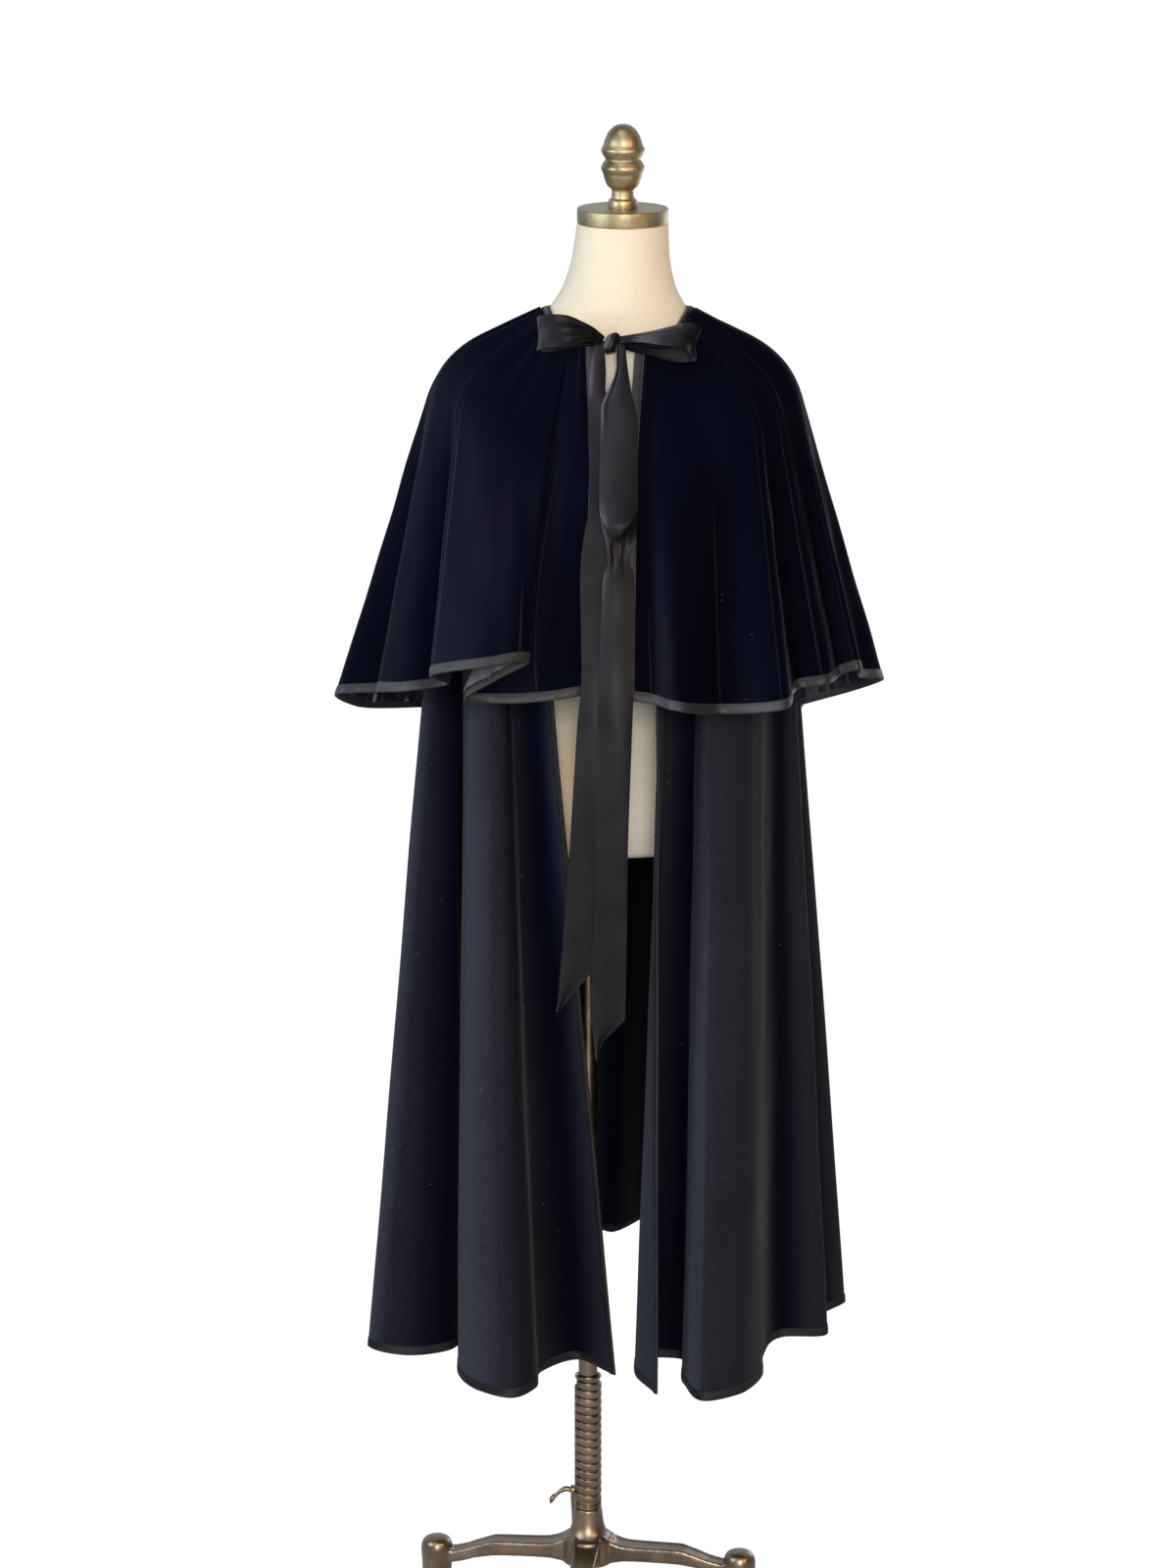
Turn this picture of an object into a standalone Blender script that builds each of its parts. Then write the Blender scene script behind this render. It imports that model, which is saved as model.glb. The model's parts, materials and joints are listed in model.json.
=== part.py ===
"""Two-tier tie-front cape on a dress form with a brass stand.

Metres, +Z up, the cape's open front towards -Y. Left and right are as seen from the front.
All points are worked out about the stand's pole, and one empty places the pole in the part's frame.
Angles round the figure run from the front (0) past the left (90), the back (180) and the right (270).
"""

import math

import bmesh
import bpy
import numpy as np

# Frame: the middle of the part's box is the origin, and the pole stands beside it
POLE_PLACE = (-0.0265, -0.0036, 0.0)
GAP = 0.0003

# Cloth
WOOL = 0.002
VELVET = 0.002
LINING = 0.001
LINING_GAP = 0.0006
SATIN = 0.001
BINDING_PROUD = 0.0006
CAPE_BINDING = 0.010
CAPLET_BINDING = 0.011
GATHER = 0.0025
CAPE_COLUMNS = 108
CAPLET_COLUMNS = 112
CAPE_LEVELS = (0.0, 0.04, 0.075, 0.11, 0.18, 0.36, 0.56, 0.78, 1.0)
CAPLET_LEVELS = (0.0, 0.10, 0.18, 0.28, 0.57, 0.78, 1.0)
LINING_LEVELS = 3
SIDE_SEAMS = (0.318, 0.690)

# Neckband
BAND_HEIGHT = 0.006
BAND_INNER = 0.0012
BAND_OUTER = 0.0060
BAND_OPENING = (4.2, 355.6)
BAND_STEPS = 44
NECK_LINE = {"front": 1.410, "side": 1.455, "back": 1.484}
NECK_OPENING = (9.7, 351.4)

# Dress form: height, half width, depth to the front, depth to the back
FORM_BOTTOM = 0.865
FORM_LEAN = 0.055
FORM_STEPS = 40
FORM_SECTIONS = np.array((
    (0.865, 0.138, 0.104, 0.100),
    (0.888, 0.144, 0.109, 0.104),
    (0.967, 0.134, 0.104, 0.096),
    (1.048, 0.118, 0.096, 0.084),
    (1.138, 0.134, 0.112, 0.090),
    (1.237, 0.150, 0.130, 0.099),
    (1.306, 0.158, 0.121, 0.102),
    (1.356, 0.157, 0.103, 0.097),
    (1.386, 0.151, 0.091, 0.091),
    (1.402, 0.138, 0.083, 0.087),
    (1.413, 0.124, 0.078, 0.084),
    (1.424, 0.107, 0.072, 0.080),
    (1.434, 0.093, 0.066, 0.075),
    (1.446, 0.081, 0.059, 0.069),
    (1.462, 0.073, 0.054, 0.063),
    (1.478, 0.0635, 0.050, 0.057),
    (1.502, 0.0557, 0.047, 0.053),
    (1.550, 0.0495, 0.046, 0.0495),
))
CAP_TILT = math.radians(14.0)
TILT_FROM = 1.470
NECK_TOP = 1.550

# Brass on the neck
CAP_RADIUS = 0.0497
CAP_HEIGHT = 0.016
# Finial: radius, height
FINIAL_PROFILE = (
    (0.0158, 0.0), (0.0158, 0.0082), (0.0128, 0.0101), (0.0124, 0.0197), (0.0170, 0.0236),
    (0.0204, 0.0317), (0.0216, 0.0361), (0.0237, 0.0423), (0.0216, 0.0476), (0.0190, 0.0515),
    (0.0216, 0.0558), (0.0237, 0.0613), (0.0214, 0.0669), (0.0190, 0.0741), (0.0150, 0.0813),
    (0.0090, 0.0866),
)
FINIAL_TOP = 0.0885

# Stand
POLE_RADIUS = 0.0106
POLE_LOW = 0.104
POLE_HIGH = 0.8287
BORE_RADIUS = 0.0112
SLEEVE_LOW = 0.1060
SLEEVE_HIGH = 0.261
SLEEVE_CREST = 0.0154
SLEEVE_GROOVE = 0.0138
SLEEVE_COILS = 17
# Hub: radius, height, from the rim of its bore down the outside
HUB_PROFILE = (
    (0.0160, 0.1057), (0.0164, 0.1000), (0.0172, 0.0930), (0.0182, 0.0870), (0.0198, 0.0815),
    (0.0222, 0.0765), (0.0258, 0.0725), (0.0300, 0.0700), (0.0300, 0.0460), (0.0265, 0.0420),
)
BORE_FLOOR = 0.060
# Direction of each leg from the pole, in degrees from the right
LEG_TURNS = {"right": -10.0, "back": 91.0, "left": 175.0, "front": 265.0}
# Leg: distance from the pole, half width, underside, edge of the top, crest
LEG_SECTIONS = (
    (0.0304, 0.0150, 0.0450, 0.0672, 0.0690),
    (0.0420, 0.0145, 0.0470, 0.0645, 0.0660),
    (0.0600, 0.0140, 0.0478, 0.0637, 0.0652),
    (0.0900, 0.0136, 0.0478, 0.0637, 0.0652),
    (0.1083, 0.0132, 0.0470, 0.0632, 0.0647),
    (0.1190, 0.0128, 0.0455, 0.0602, 0.0617),
    (0.1300, 0.0122, 0.0435, 0.0568, 0.0583),
    (0.1408, 0.0114, 0.0400, 0.0532, 0.0547),
    (0.1560, 0.0108, 0.0370, 0.0502, 0.0517),
)
LEG_TOP_SHARE = 0.8
FOOT_REACH = 0.1745
# Foot: radius, height
FOOT_PROFILE = (
    (0.0090, 0.0650), (0.0150, 0.0618), (0.0178, 0.0550), (0.0180, 0.0480), (0.0172, 0.0360),
    (0.0166, 0.0200), (0.0170, 0.0090), (0.0170, 0.0030), (0.0150, 0.0),
)
FOOT_TOP = 0.0658
COLLAR_PROFILE = ((0.0420, 0.8647), (0.0420, 0.8600), (0.0210, 0.8550), (0.0190, 0.8290))
# Clamp lever: x, z and radius from its boss to its ball end
LEVER_PROFILE = (
    (-0.0158, 0.1255, 0.0052), (-0.0192, 0.1255, 0.0052), (-0.0198, 0.1255, 0.0032),
    (-0.0270, 0.1262, 0.0030), (-0.0330, 0.1225, 0.0028), (-0.0378, 0.1175, 0.0028),
    (-0.0395, 0.1160, 0.0042), (-0.0425, 0.1135, 0.0042), (-0.0442, 0.1120, 0.0024),
)

# Hem of each tier, a row for each fold: lead is its angle where it leaves the shoulders,
# crest is 1 on a ridge and -1 in a valley, then x, y and z of the hem about the pole
CAPLET_LEFT = (
    # lead, crest, x, y, z
    (5.0, 0, 0.006, -0.200, 1.0505),
    (13.0, 1, -0.052, -0.212, 1.0425),
    (17.0, 0, -0.104, -0.197, 1.0405),
    (19.5, -1, -0.128, -0.206, 1.0435),
    (21.0, 0, -0.098, -0.226, 1.0645),
    (23.0, 1, -0.062, -0.246, 1.0855),
    (40.0, 1, -0.105, -0.268, 1.0815),
    (57.0, 1, -0.157, -0.240, 1.0725),
    (65.0, -1, -0.152, -0.158, 1.0555),
    (74.0, 1, -0.188, -0.164, 1.0505),
    (84.0, 1, -0.221, -0.126, 1.0475),
    (90.0, -1, -0.224, -0.050, 1.0415),
    (98.0, 1, -0.273, -0.040, 1.0385),
    (105.0, 0, -0.257, 0.020, 1.0205),
)
CAPLET_RIGHT = (
    # lead, crest, x, y, z
    (256.0, 0, 0.300, 0.070, 1.0345),
    (266.0, 1, 0.326, 0.000, 1.0525),
    (276.0, -1, 0.2955, -0.052, 1.0575),
    (286.0, 1, 0.2865, -0.104, 1.0690),
    (293.0, -1, 0.2735, -0.092, 1.0640),
    (301.0, 1, 0.248, -0.143, 1.0555),
    (306.0, -1, 0.227, -0.138, 1.0525),
    (312.0, 1, 0.200, -0.214, 1.0345),
    (329.0, -1, 0.137, -0.188, 1.0285),
    (345.0, 1, 0.091, -0.230, 1.0345),
    (351.5, -1, 0.066, -0.206, 1.0405),
    (356.7, 0, 0.037, -0.210, 1.0445),
)
CAPE_LEFT = (
    # lead, crest, x, y, z
    (30.0, 0, 0.030, -0.175, 0.318),
    (37.0, -1, -0.013, -0.125, 0.318),
    (42.0, 0, -0.050, -0.165, 0.318),
    (46.0, 0, -0.058, -0.222, 0.318),
    (50.0, 1, -0.078, -0.250, 0.318),
    (56.0, 1, -0.112, -0.228, 0.318),
    (62.0, 0, -0.135, -0.175, 0.318),
    (69.0, -1, -0.140, -0.060, 0.321),
    (75.0, 0, -0.155, -0.102, 0.320),
    (82.0, 1, -0.197, -0.113, 0.320),
    (90.0, 1, -0.238, -0.090, 0.322),
)
CAPE_RIGHT = (
    # lead, crest, x, y, z
    (262.0, 1, 0.292, 0.035, 0.335),
    (269.0, -1, 0.258, -0.005, 0.330),
    (277.0, 1, 0.262, -0.058, 0.325),
    (287.0, -1, 0.216, -0.055, 0.322),
    (296.0, 0, 0.188, -0.120, 0.320),
    (304.0, 0, 0.182, -0.180, 0.318),
    (312.0, 1, 0.155, -0.240, 0.318),
    (320.0, 1, 0.122, -0.260, 0.318),
    (327.0, 0, 0.103, -0.205, 0.318),
    (333.0, -1, 0.098, -0.118, 0.318),
    (339.0, 0, 0.062, -0.118, 0.318),
    (343.0, 0, 0.052, -0.175, 0.318),
    (346.5, 0, 0.071, -0.239, 0.318),
)
# Folds round the back: first and last lead, first and last angle about the hem's middle,
# hem heights at the side and the middle, then a reach for each valley and ridge in turn
CAPLET_BACK = {
    "lead": (113.0, 248.0), "angle": (113.0, 247.0), "height": (1.0155, 0.9955),
    "reach": (0.222, 0.266, 0.210, 0.272, 0.214, 0.275, 0.206, 0.270, 0.212, 0.268, 0.226),
}
CAPE_BACK = {
    "lead": (99.0, 253.0), "angle": (86.0, 250.0), "height": (0.325, 0.388),
    "reach": (0.186, 0.246, 0.172, 0.238, 0.160, 0.232, 0.150, 0.226, 0.142, 0.224,
              0.158, 0.236, 0.172, 0.250, 0.196),
}

# Ribbon along each loop: x, y, middle height, half width, then in degrees the lean of its width
# from upright to the back and its slant from upright to the right
LOOP_LEFT = (
    (0.0154, -0.0955, 1.4175, 0.0048, 0.0, 0.0), (0.0085, -0.0995, 1.4215, 0.0066, 8.0, 0.0),
    (-0.0005, -0.1035, 1.4252, 0.0092, 12.0, 0.0), (-0.0200, -0.1070, 1.4272, 0.0152, 8.0, 0.0),
    (-0.0380, -0.1050, 1.4276, 0.0164, 0.0, 0.0), (-0.0490, -0.1000, 1.4262, 0.0164, -4.0, 0.0),
    (-0.0524, -0.0940, 1.4245, 0.0166, -4.0, 0.0), (-0.0480, -0.0900, 1.4236, 0.0166, 0.0, 0.0),
    (-0.0250, -0.0895, 1.4235, 0.0150, 0.0, 0.0), (-0.0020, -0.0900, 1.4210, 0.0090, 0.0, 0.0),
    (0.0160, -0.0905, 1.4170, 0.0048, 0.0, 0.0),
)
LOOP_RIGHT = (
    (0.0338, -0.0960, 1.4180, 0.0042, 10.0, 0.0), (0.0450, -0.1030, 1.4198, 0.0048, 40.0, 0.0),
    (0.0600, -0.1110, 1.4205, 0.0085, 52.0, 0.0), (0.0800, -0.1160, 1.4208, 0.0150, 50.0, 4.0),
    (0.0980, -0.1150, 1.4212, 0.0172, 42.0, 8.0), (0.1095, -0.1090, 1.4188, 0.0172, 22.0, 14.0),
    (0.1140, -0.1025, 1.4150, 0.0172, 5.0, 18.0), (0.1090, -0.0985, 1.4126, 0.0172, 0.0, 12.0),
    (0.0900, -0.0985, 1.4122, 0.0168, 0.0, 4.0), (0.0650, -0.0970, 1.4125, 0.0105, 0.0, 0.0),
    (0.0338, -0.0915, 1.4145, 0.0048, 0.0, 0.0),
)
# Knot: height, half width and half depth about its middle
KNOT_MIDDLE = (0.0255, -0.0925, 1.4150)
KNOT_SECTIONS = (
    (-0.0115, 0.0058, 0.0062), (-0.0085, 0.0072, 0.0080), (0.0, 0.0078, 0.0086),
    (0.0085, 0.0074, 0.0080), (0.0115, 0.0058, 0.0062),
)
# Tail: height, left edge, right edge, y
TAIL_RIGHT = (
    (1.4028, 0.0295, 0.0402, -0.0975), (1.3842, 0.0289, 0.0424, -0.1130),
    (1.3625, 0.0200, 0.0452, -0.1304), (1.3314, 0.0133, 0.0512, -0.1512),
    (1.2805, 0.0119, 0.0517, -0.1728), (1.2250, 0.0137, 0.0511, -0.1880),
    (1.1879, 0.0192, 0.0434, -0.1940), (1.1599, 0.0146, 0.0479, -0.1999),
    (1.0510, 0.0101, 0.0468, -0.2187), (0.9002, 0.0076, 0.0415, -0.2214),
    (0.8234, 0.0061, 0.0406, -0.2201), (0.7283, 0.0031, 0.0390, -0.2181),
)
TAIL_LEFT = (
    (1.4095, 0.0070, 0.0176, -0.0942), (1.3912, 0.0034, 0.0186, -0.1043),
    (1.3626, 0.0010, 0.0186, -0.1268), (1.3315, 0.0000, 0.0286, -0.1477),
    (1.2805, 0.0010, 0.0345, -0.1693), (1.2401, 0.0010, 0.0365, -0.1800),
    (1.1899, -0.0071, 0.0303, -0.1890), (1.1597, -0.0081, 0.0283, -0.1950),
    (1.0597, -0.0071, 0.0292, -0.2137), (0.9375, -0.0162, 0.0202, -0.2184),
    (0.8568, -0.0213, 0.0152, -0.2172), (0.7650, -0.0285, 0.0081, -0.2153),
)
TAIL_ROWS = 23
# Slanted end of each tail, a row for each step of it: left x, left height, right x, right height
TAIL_END = {
    "right": ((0.0031, 0.6993, 0.0347, 0.7140), (0.0090, 0.6725, 0.0150, 0.6875)),
    "left": ((-0.0285, 0.7413, 0.0040, 0.7510), (-0.0326, 0.7195, -0.0266, 0.7317)),
}
LOOP_STEPS = 22
KNOT_STEPS = 16

FINISHES = {
    # colour, roughness, metallic
    "wool": ((0.010, 0.011, 0.014), 0.85, 0.0),
    "velvet": ((0.004, 0.004, 0.008), 0.90, 0.0),
    "satin": ((0.030, 0.028, 0.030), 0.38, 0.0),
    "linen": ((0.80, 0.76, 0.66), 0.85, 0.0),
    "brass": ((0.45, 0.34, 0.16), 0.28, 1.0),
    "bronze": ((0.26, 0.19, 0.11), 0.35, 1.0),
}


def clear_scene():
    for obj in list(bpy.data.objects):
        bpy.data.objects.remove(obj)


def make_finishes():
    made = {}
    for name, (colour, roughness, metallic) in FINISHES.items():
        material = bpy.data.materials.new(name)
        material.use_nodes = True
        shader = material.node_tree.nodes["Principled BSDF"]
        shader.inputs["Base Color"].default_value = (*colour, 1.0)
        shader.inputs["Roughness"].default_value = roughness
        shader.inputs["Metallic"].default_value = metallic
        made[name] = material
    return made


def place(name, mesh, finish, axis, location=(0.0, 0.0, 0.0), tilt=0.0):
    """One named piece on the stand's axis."""
    mesh.materials.append(finish)
    mesh.shade_smooth()
    mesh.set_sharp_from_angle(angle=math.radians(40))
    piece = bpy.data.objects.new(name, mesh)
    piece.location = location
    piece.rotation_euler = (tilt, 0.0, 0.0)
    piece.parent = axis
    bpy.context.scene.collection.objects.link(piece)
    return piece


def mesh_of(name, points, faces):
    mesh = bpy.data.meshes.new(name)
    mesh.from_pydata([tuple(p) for p in points], [], faces)
    work = bmesh.new()
    work.from_mesh(mesh)
    bmesh.ops.recalc_face_normals(work, faces=work.faces)
    work.to_mesh(mesh)
    work.free()
    return mesh


def turned(name, profile, steps):
    """A profile of radius and height, from one end of the axis to the other, spun round the axis."""
    work = bmesh.new()
    points = [work.verts.new((radius, 0.0, height)) for radius, height in profile]
    edges = [work.edges.new(pair) for pair in zip(points, points[1:])]
    bmesh.ops.spin(
        work, geom=points + edges, cent=(0, 0, 0), axis=(0, 0, 1), angle=math.tau, steps=steps, use_merge=True
    )
    bmesh.ops.remove_doubles(work, verts=work.verts, dist=1e-6)
    bmesh.ops.recalc_face_normals(work, faces=work.faces)
    mesh = bpy.data.meshes.new(name)
    work.to_mesh(mesh)
    work.free()
    return mesh


def lofted(name, rings):
    """A skin over closed rings of equal size, with a flat cap on each end."""
    count = len(rings[0])
    points = [p for ring in rings for p in ring]
    faces = [tuple(range(count)), tuple(range(len(points) - count, len(points)))]
    for i in range(len(rings) - 1):
        for j in range(count):
            k = (j + 1) % count
            faces.append((i * count + j, i * count + k, (i + 1) * count + k, (i + 1) * count + j))
    return mesh_of(name, points, faces)


def through(keys, values, at):
    """A smooth curve through a table's rows, read at the given keys."""
    slopes = np.gradient(values, keys, axis=0)
    low = np.clip(np.searchsorted(keys, at, side="right") - 1, 0, len(keys) - 2)
    step = (keys[low + 1] - keys[low])[..., None]
    f = (at - keys[low])[..., None] / step
    return (
        values[low] * (1 + 2 * f) * (1 - f) ** 2
        + values[low + 1] * f**2 * (3 - 2 * f)
        + slopes[low] * step * f * (1 - f) ** 2
        - slopes[low + 1] * step * f**2 * (1 - f)
    )


def oval(angle, middle, half_width, front, back):
    """x and y on an oval whose front and back differ in depth; the angle is in degrees."""
    turn = np.radians(angle)
    depth = np.where(np.cos(turn) > 0, front, back)
    return middle[0] - half_width * np.sin(turn), middle[1] - depth * np.cos(turn)


def between(angle, front, side, back):
    """A height that passes from a front to a side to a back value round the figure."""
    ahead = np.cos(np.radians(angle))
    return side + (front - side) * np.maximum(ahead, 0) ** 2 + (back - side) * np.maximum(-ahead, 0) ** 2


def form_point(angle, height, out=0.0):
    """A point of the dress form's skin, moved out, at an angle and a height."""
    size = [np.interp(height, FORM_SECTIONS[:, 0], column) + out for column in FORM_SECTIONS[:, 1:].T]
    middle = FORM_LEAN * (height - FORM_BOTTOM), 0.0
    x, y = oval(angle, middle, *size)
    tilt = math.tan(CAP_TILT) * np.clip((height - TILT_FROM) / (NECK_TOP - TILT_FROM), 0, 1)
    return np.stack(np.broadcast_arrays(x, y, height + tilt * y), axis=-1)


def neck_point(angle, out, rise):
    """A point beside the neck, a given distance out from the form and above the neck line."""
    return form_point(angle, between(angle, **NECK_LINE) + rise, out)


class Tier:
    """One tier of the cape: lines that leave the neck, turn over the shoulders and hang to the hem.

    u runs from the left front edge round the back to the right front edge, and t from neck to hem.
    """

    def __init__(self, rows, neck, shoulder, hem, turn, rounding, growth):
        self.rows = np.array(rows, float)
        steps = np.linalg.norm(np.diff(self.rows[:, 2:5], axis=0), axis=1)
        self.keys = np.concatenate(([0.0], np.cumsum(steps))) / steps.sum()
        self.neck, self.shoulder, self.hem = neck, shoulder, hem
        self.turn, self.rounding, self.growth = turn, rounding, growth

    def ring(self, angle, sizes):
        x, y = oval(angle, sizes["middle"], sizes["half_width"], sizes["front"], sizes["back"])
        return np.stack((x, y, between(angle, *sizes["heights"])), axis=-1)

    def point(self, u, t):
        row = through(self.keys, self.rows, u)
        lead, crest, hem = row[..., 0], row[..., 1], row[..., 2:5]
        first, last = self.rows[0, 0], self.rows[-1, 0]
        share = (lead - first) / (last - first)
        neck_lead = NECK_OPENING[0] + share * (NECK_OPENING[1] - NECK_OPENING[0])
        neck = neck_point(neck_lead, self.neck["out"], self.neck["rise"])
        shoulder = self.ring(lead, self.shoulder)
        smooth_hem = self.ring(lead, self.hem)
        # The ramp is 0 above the shoulder's turn and grows evenly below it, with a round start
        past = t - self.turn
        bend = np.clip(past + self.rounding, 0, 2 * self.rounding) ** 2 / (4 * self.rounding)
        past = np.where(past > self.rounding, past, bend)
        down = past / (1 - self.turn)
        along = (t - past) / self.turn
        gather = GATHER * crest * np.sin(np.pi * np.clip(t / (2 * self.turn), 0, 1))
        place = neck + (shoulder - neck) * along[..., None] + (smooth_hem - shoulder) * down[..., None]
        place = place + (hem - smooth_hem) * (np.maximum(down, 0) ** self.growth)[..., None]
        place[..., 2] += gather
        return place

    def frame(self, u, t, step=2e-4):
        """Points, outward normals and the lengths of a unit step in u and in t."""
        along = (self.point(u + step, t) - self.point(u - step, t)) / (2 * step)
        down = (self.point(u, t + step) - self.point(u, t - step)) / (2 * step)
        normal = np.cross(along, down)
        normal /= np.linalg.norm(normal, axis=-1, keepdims=True)
        return self.point(u, t), normal, np.linalg.norm(along, axis=-1), np.linalg.norm(down, axis=-1)

    def wall(self, name, u, t, inner, outer):
        """A closed sheet between two offsets of the tier's surface, over a grid of u and t."""
        points, normals = self.frame(u, t)[:2]
        levels, columns = u.shape
        layers = [points + normals * outer, points + normals * inner]
        corners = np.concatenate([layer.reshape(-1, 3) for layer in layers])
        size = levels * columns
        faces = []
        for i in range(levels - 1):
            for j in range(columns - 1):
                a, b = i * columns + j, i * columns + j + 1
                c, d = b + columns, a + columns
                faces += [(a, b, c), (a, c, d)]
                faces += [(size + c, size + b, size + a), (size + d, size + c, size + a)]
        top = [j for j in range(columns)]
        low = [size - columns + j for j in range(columns)]
        start = [i * columns for i in range(levels)]
        end = [i * columns + columns - 1 for i in range(levels)]
        for rim in (top, low, start, end):
            faces += [(p, q, size + q, size + p) for p, q in zip(rim, rim[1:])]
        return mesh_of(name, corners, faces)

    def inset(self, u, t, width):
        """u moved along the cloth by a width, at each t."""
        middle = np.clip(u, 0.003, 0.997)
        return u + width / self.frame(middle, t)[2]

    def hem_level(self, u, width):
        """t at a distance up from the hem, for each u."""
        return 1.0 - width / self.frame(np.clip(u, 0.003, 0.997), np.full_like(u, 0.99))[3]


def back_rows(folds, middle):
    """Hem rows for the folds round the back, valley and ridge in turn."""
    count = len(folds["reach"])
    rows = []
    for i, reach in enumerate(folds["reach"]):
        part = i / (count - 1)
        lead = folds["lead"][0] + part * (folds["lead"][1] - folds["lead"][0])
        angle = folds["angle"][0] + part * (folds["angle"][1] - folds["angle"][0])
        x, y = oval(angle, middle, reach, reach, reach)
        side, centre = folds["height"]
        height = side + (centre - side) * math.sin(math.pi * part)
        rows.append((lead, 1 if i % 2 else -1, float(x), float(y), height))
    return tuple(rows)


def make_tiers():
    caplet = Tier(
        CAPLET_LEFT + back_rows(CAPLET_BACK, (0.03, 0.0)) + CAPLET_RIGHT,
        neck={"out": 0.0068, "rise": 0.0005},
        shoulder={"middle": (0.0290, 0.0), "half_width": 0.192, "front": 0.165, "back": 0.141,
                  "heights": (1.288, 1.4050, 1.372)},
        hem={"middle": (0.030, 0.0), "half_width": 0.272, "front": 0.218, "back": 0.238,
             "heights": (1.0495, 1.0445, 0.9995)},
        turn=0.22, rounding=0.10, growth=1.0,
    )
    cape = Tier(
        CAPE_LEFT + back_rows(CAPE_BACK, (0.028, 0.0)) + CAPE_RIGHT,
        neck={"out": 0.0020, "rise": -0.0024},
        shoulder={"middle": (0.0310, 0.0), "half_width": 0.178, "front": 0.150, "back": 0.127,
                  "heights": (1.278, 1.3985, 1.362)},
        hem={"middle": (0.028, 0.0), "half_width": 0.240, "front": 0.180, "back": 0.200,
             "heights": (0.318, 0.322, 0.350)},
        turn=0.10, rounding=0.045, growth=1.05,
    )
    return cape, caplet


def make_tier(tier, label, levels, columns, thickness, binding, cloth, trim, lining, axis):
    """The panels of one tier, parted at the side seams, with their lining and their bound hem and edges."""
    levels = np.array(levels)
    spans = (("front_left", "left", 0.0, SIDE_SEAMS[0]), ("back", "back", *SIDE_SEAMS),
             ("front_right", "right", SIDE_SEAMS[1], 1.0))
    proud = thickness + BINDING_PROUD
    for panel, side, first, last in spans:
        count = max(2, round(columns * (last - first)))
        share = np.linspace(0.0, 1.0, count + 1)
        across = first + (last - first) * share
        t = levels[:, None] * tier.hem_level(across, binding + 2 * GAP)
        start = tier.inset(np.full_like(t, first), t, GAP / 2)
        end = tier.inset(np.full_like(t, last), t, -GAP / 2)
        if side == "left":
            start = tier.inset(np.zeros_like(t), t, binding + GAP)
        if side == "right":
            end = tier.inset(np.ones_like(t), t, -binding - GAP)
        u = start + (end - start) * share
        place(f"{label}_{panel}", tier.wall(f"{label}_{panel}", u, t, 0.0, thickness), cloth, axis)
        if lining:
            mesh = tier.wall(f"{label}_lining_{side}", u[-LINING_LEVELS:], t[-LINING_LEVELS:],
                             -LINING_GAP - LINING, -LINING_GAP)
            place(f"{label}_lining_{side}", mesh, lining, axis)
        rim = np.stack((tier.hem_level(across, binding), np.ones(count + 1)))
        along = np.stack((u[-1], u[-1]))
        mesh = tier.wall(f"{label}_hem_{side}", along, rim, -BINDING_PROUD, proud)
        place(f"{label}_hem_{side}", mesh, trim, axis)
    for side, index in (("left", 0.0), ("right", 1.0)):
        low = tier.hem_level(np.array(index), binding + GAP)
        t = np.append(levels * low, 1.0)
        edge = np.full_like(t, index)
        inner = tier.inset(edge, t, binding if side == "left" else -binding)
        mesh = tier.wall(f"{label}_edge_{side}", np.stack((edge, inner), axis=1), np.stack((t, t), axis=1),
                         -BINDING_PROUD, proud)
        place(f"{label}_edge_{side}", mesh, trim, axis)


def make_neckband(axis, satin):
    angles = np.linspace(*BAND_OPENING, BAND_STEPS)
    corners = ((BAND_INNER, 0.0), (BAND_OUTER, 0.0), (BAND_OUTER, BAND_HEIGHT), (BAND_INNER, BAND_HEIGHT))
    sides = [neck_point(angles, out, rise) for out, rise in corners]
    rings = [[side[i] for side in sides] for i in range(BAND_STEPS)]
    place("neckband", lofted("neckband", rings), satin, axis)


def ribbon(name, rows, steps):
    """A ribbon along a path of x, y, middle height, half width, lean and slant."""
    table = np.array(rows)
    path = through(np.linspace(0, 1, len(table)), table, np.linspace(0, 1, steps))
    middle, half, (lean, slant) = path[:, :3], path[:, 3:4], np.radians(path[:, 4:6].T)
    heading = np.gradient(middle, axis=0)
    heading /= np.linalg.norm(heading, axis=1, keepdims=True)
    width = np.stack((np.tan(slant), np.sin(lean), np.cos(lean)), axis=1)
    width -= heading * (width * heading).sum(axis=1, keepdims=True)
    width *= half / np.linalg.norm(width, axis=1, keepdims=True)
    side = np.cross(heading, width / half) * SATIN / 2
    low, high = middle - width, middle + width
    return lofted(name, np.stack((low - side, low + side, high + side, high - side), axis=1))


def tail(name, rows, end):
    """A hanging ribbon, cut off at a slant down to its point."""
    table = np.array(rows)
    path = through(np.arange(len(table), dtype=float), table, np.linspace(0, len(table) - 1, TAIL_ROWS))
    edges = [(left, height, right, height, y) for height, left, right, y in path]
    edges += [(*row, path[-1, 3]) for row in end]
    rings = []
    for left, left_low, right, right_low, y in edges:
        front = [(left, y, left_low), (right, y, right_low)]
        rings.append(front + [(right, y + SATIN, right_low), (left, y + SATIN, left_low)])
    return lofted(name, rings)


def squared(value):
    """A cosine or sine pushed outwards, for a section between an oval and a rectangle."""
    return math.copysign(abs(value) ** 0.6, value)


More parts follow.
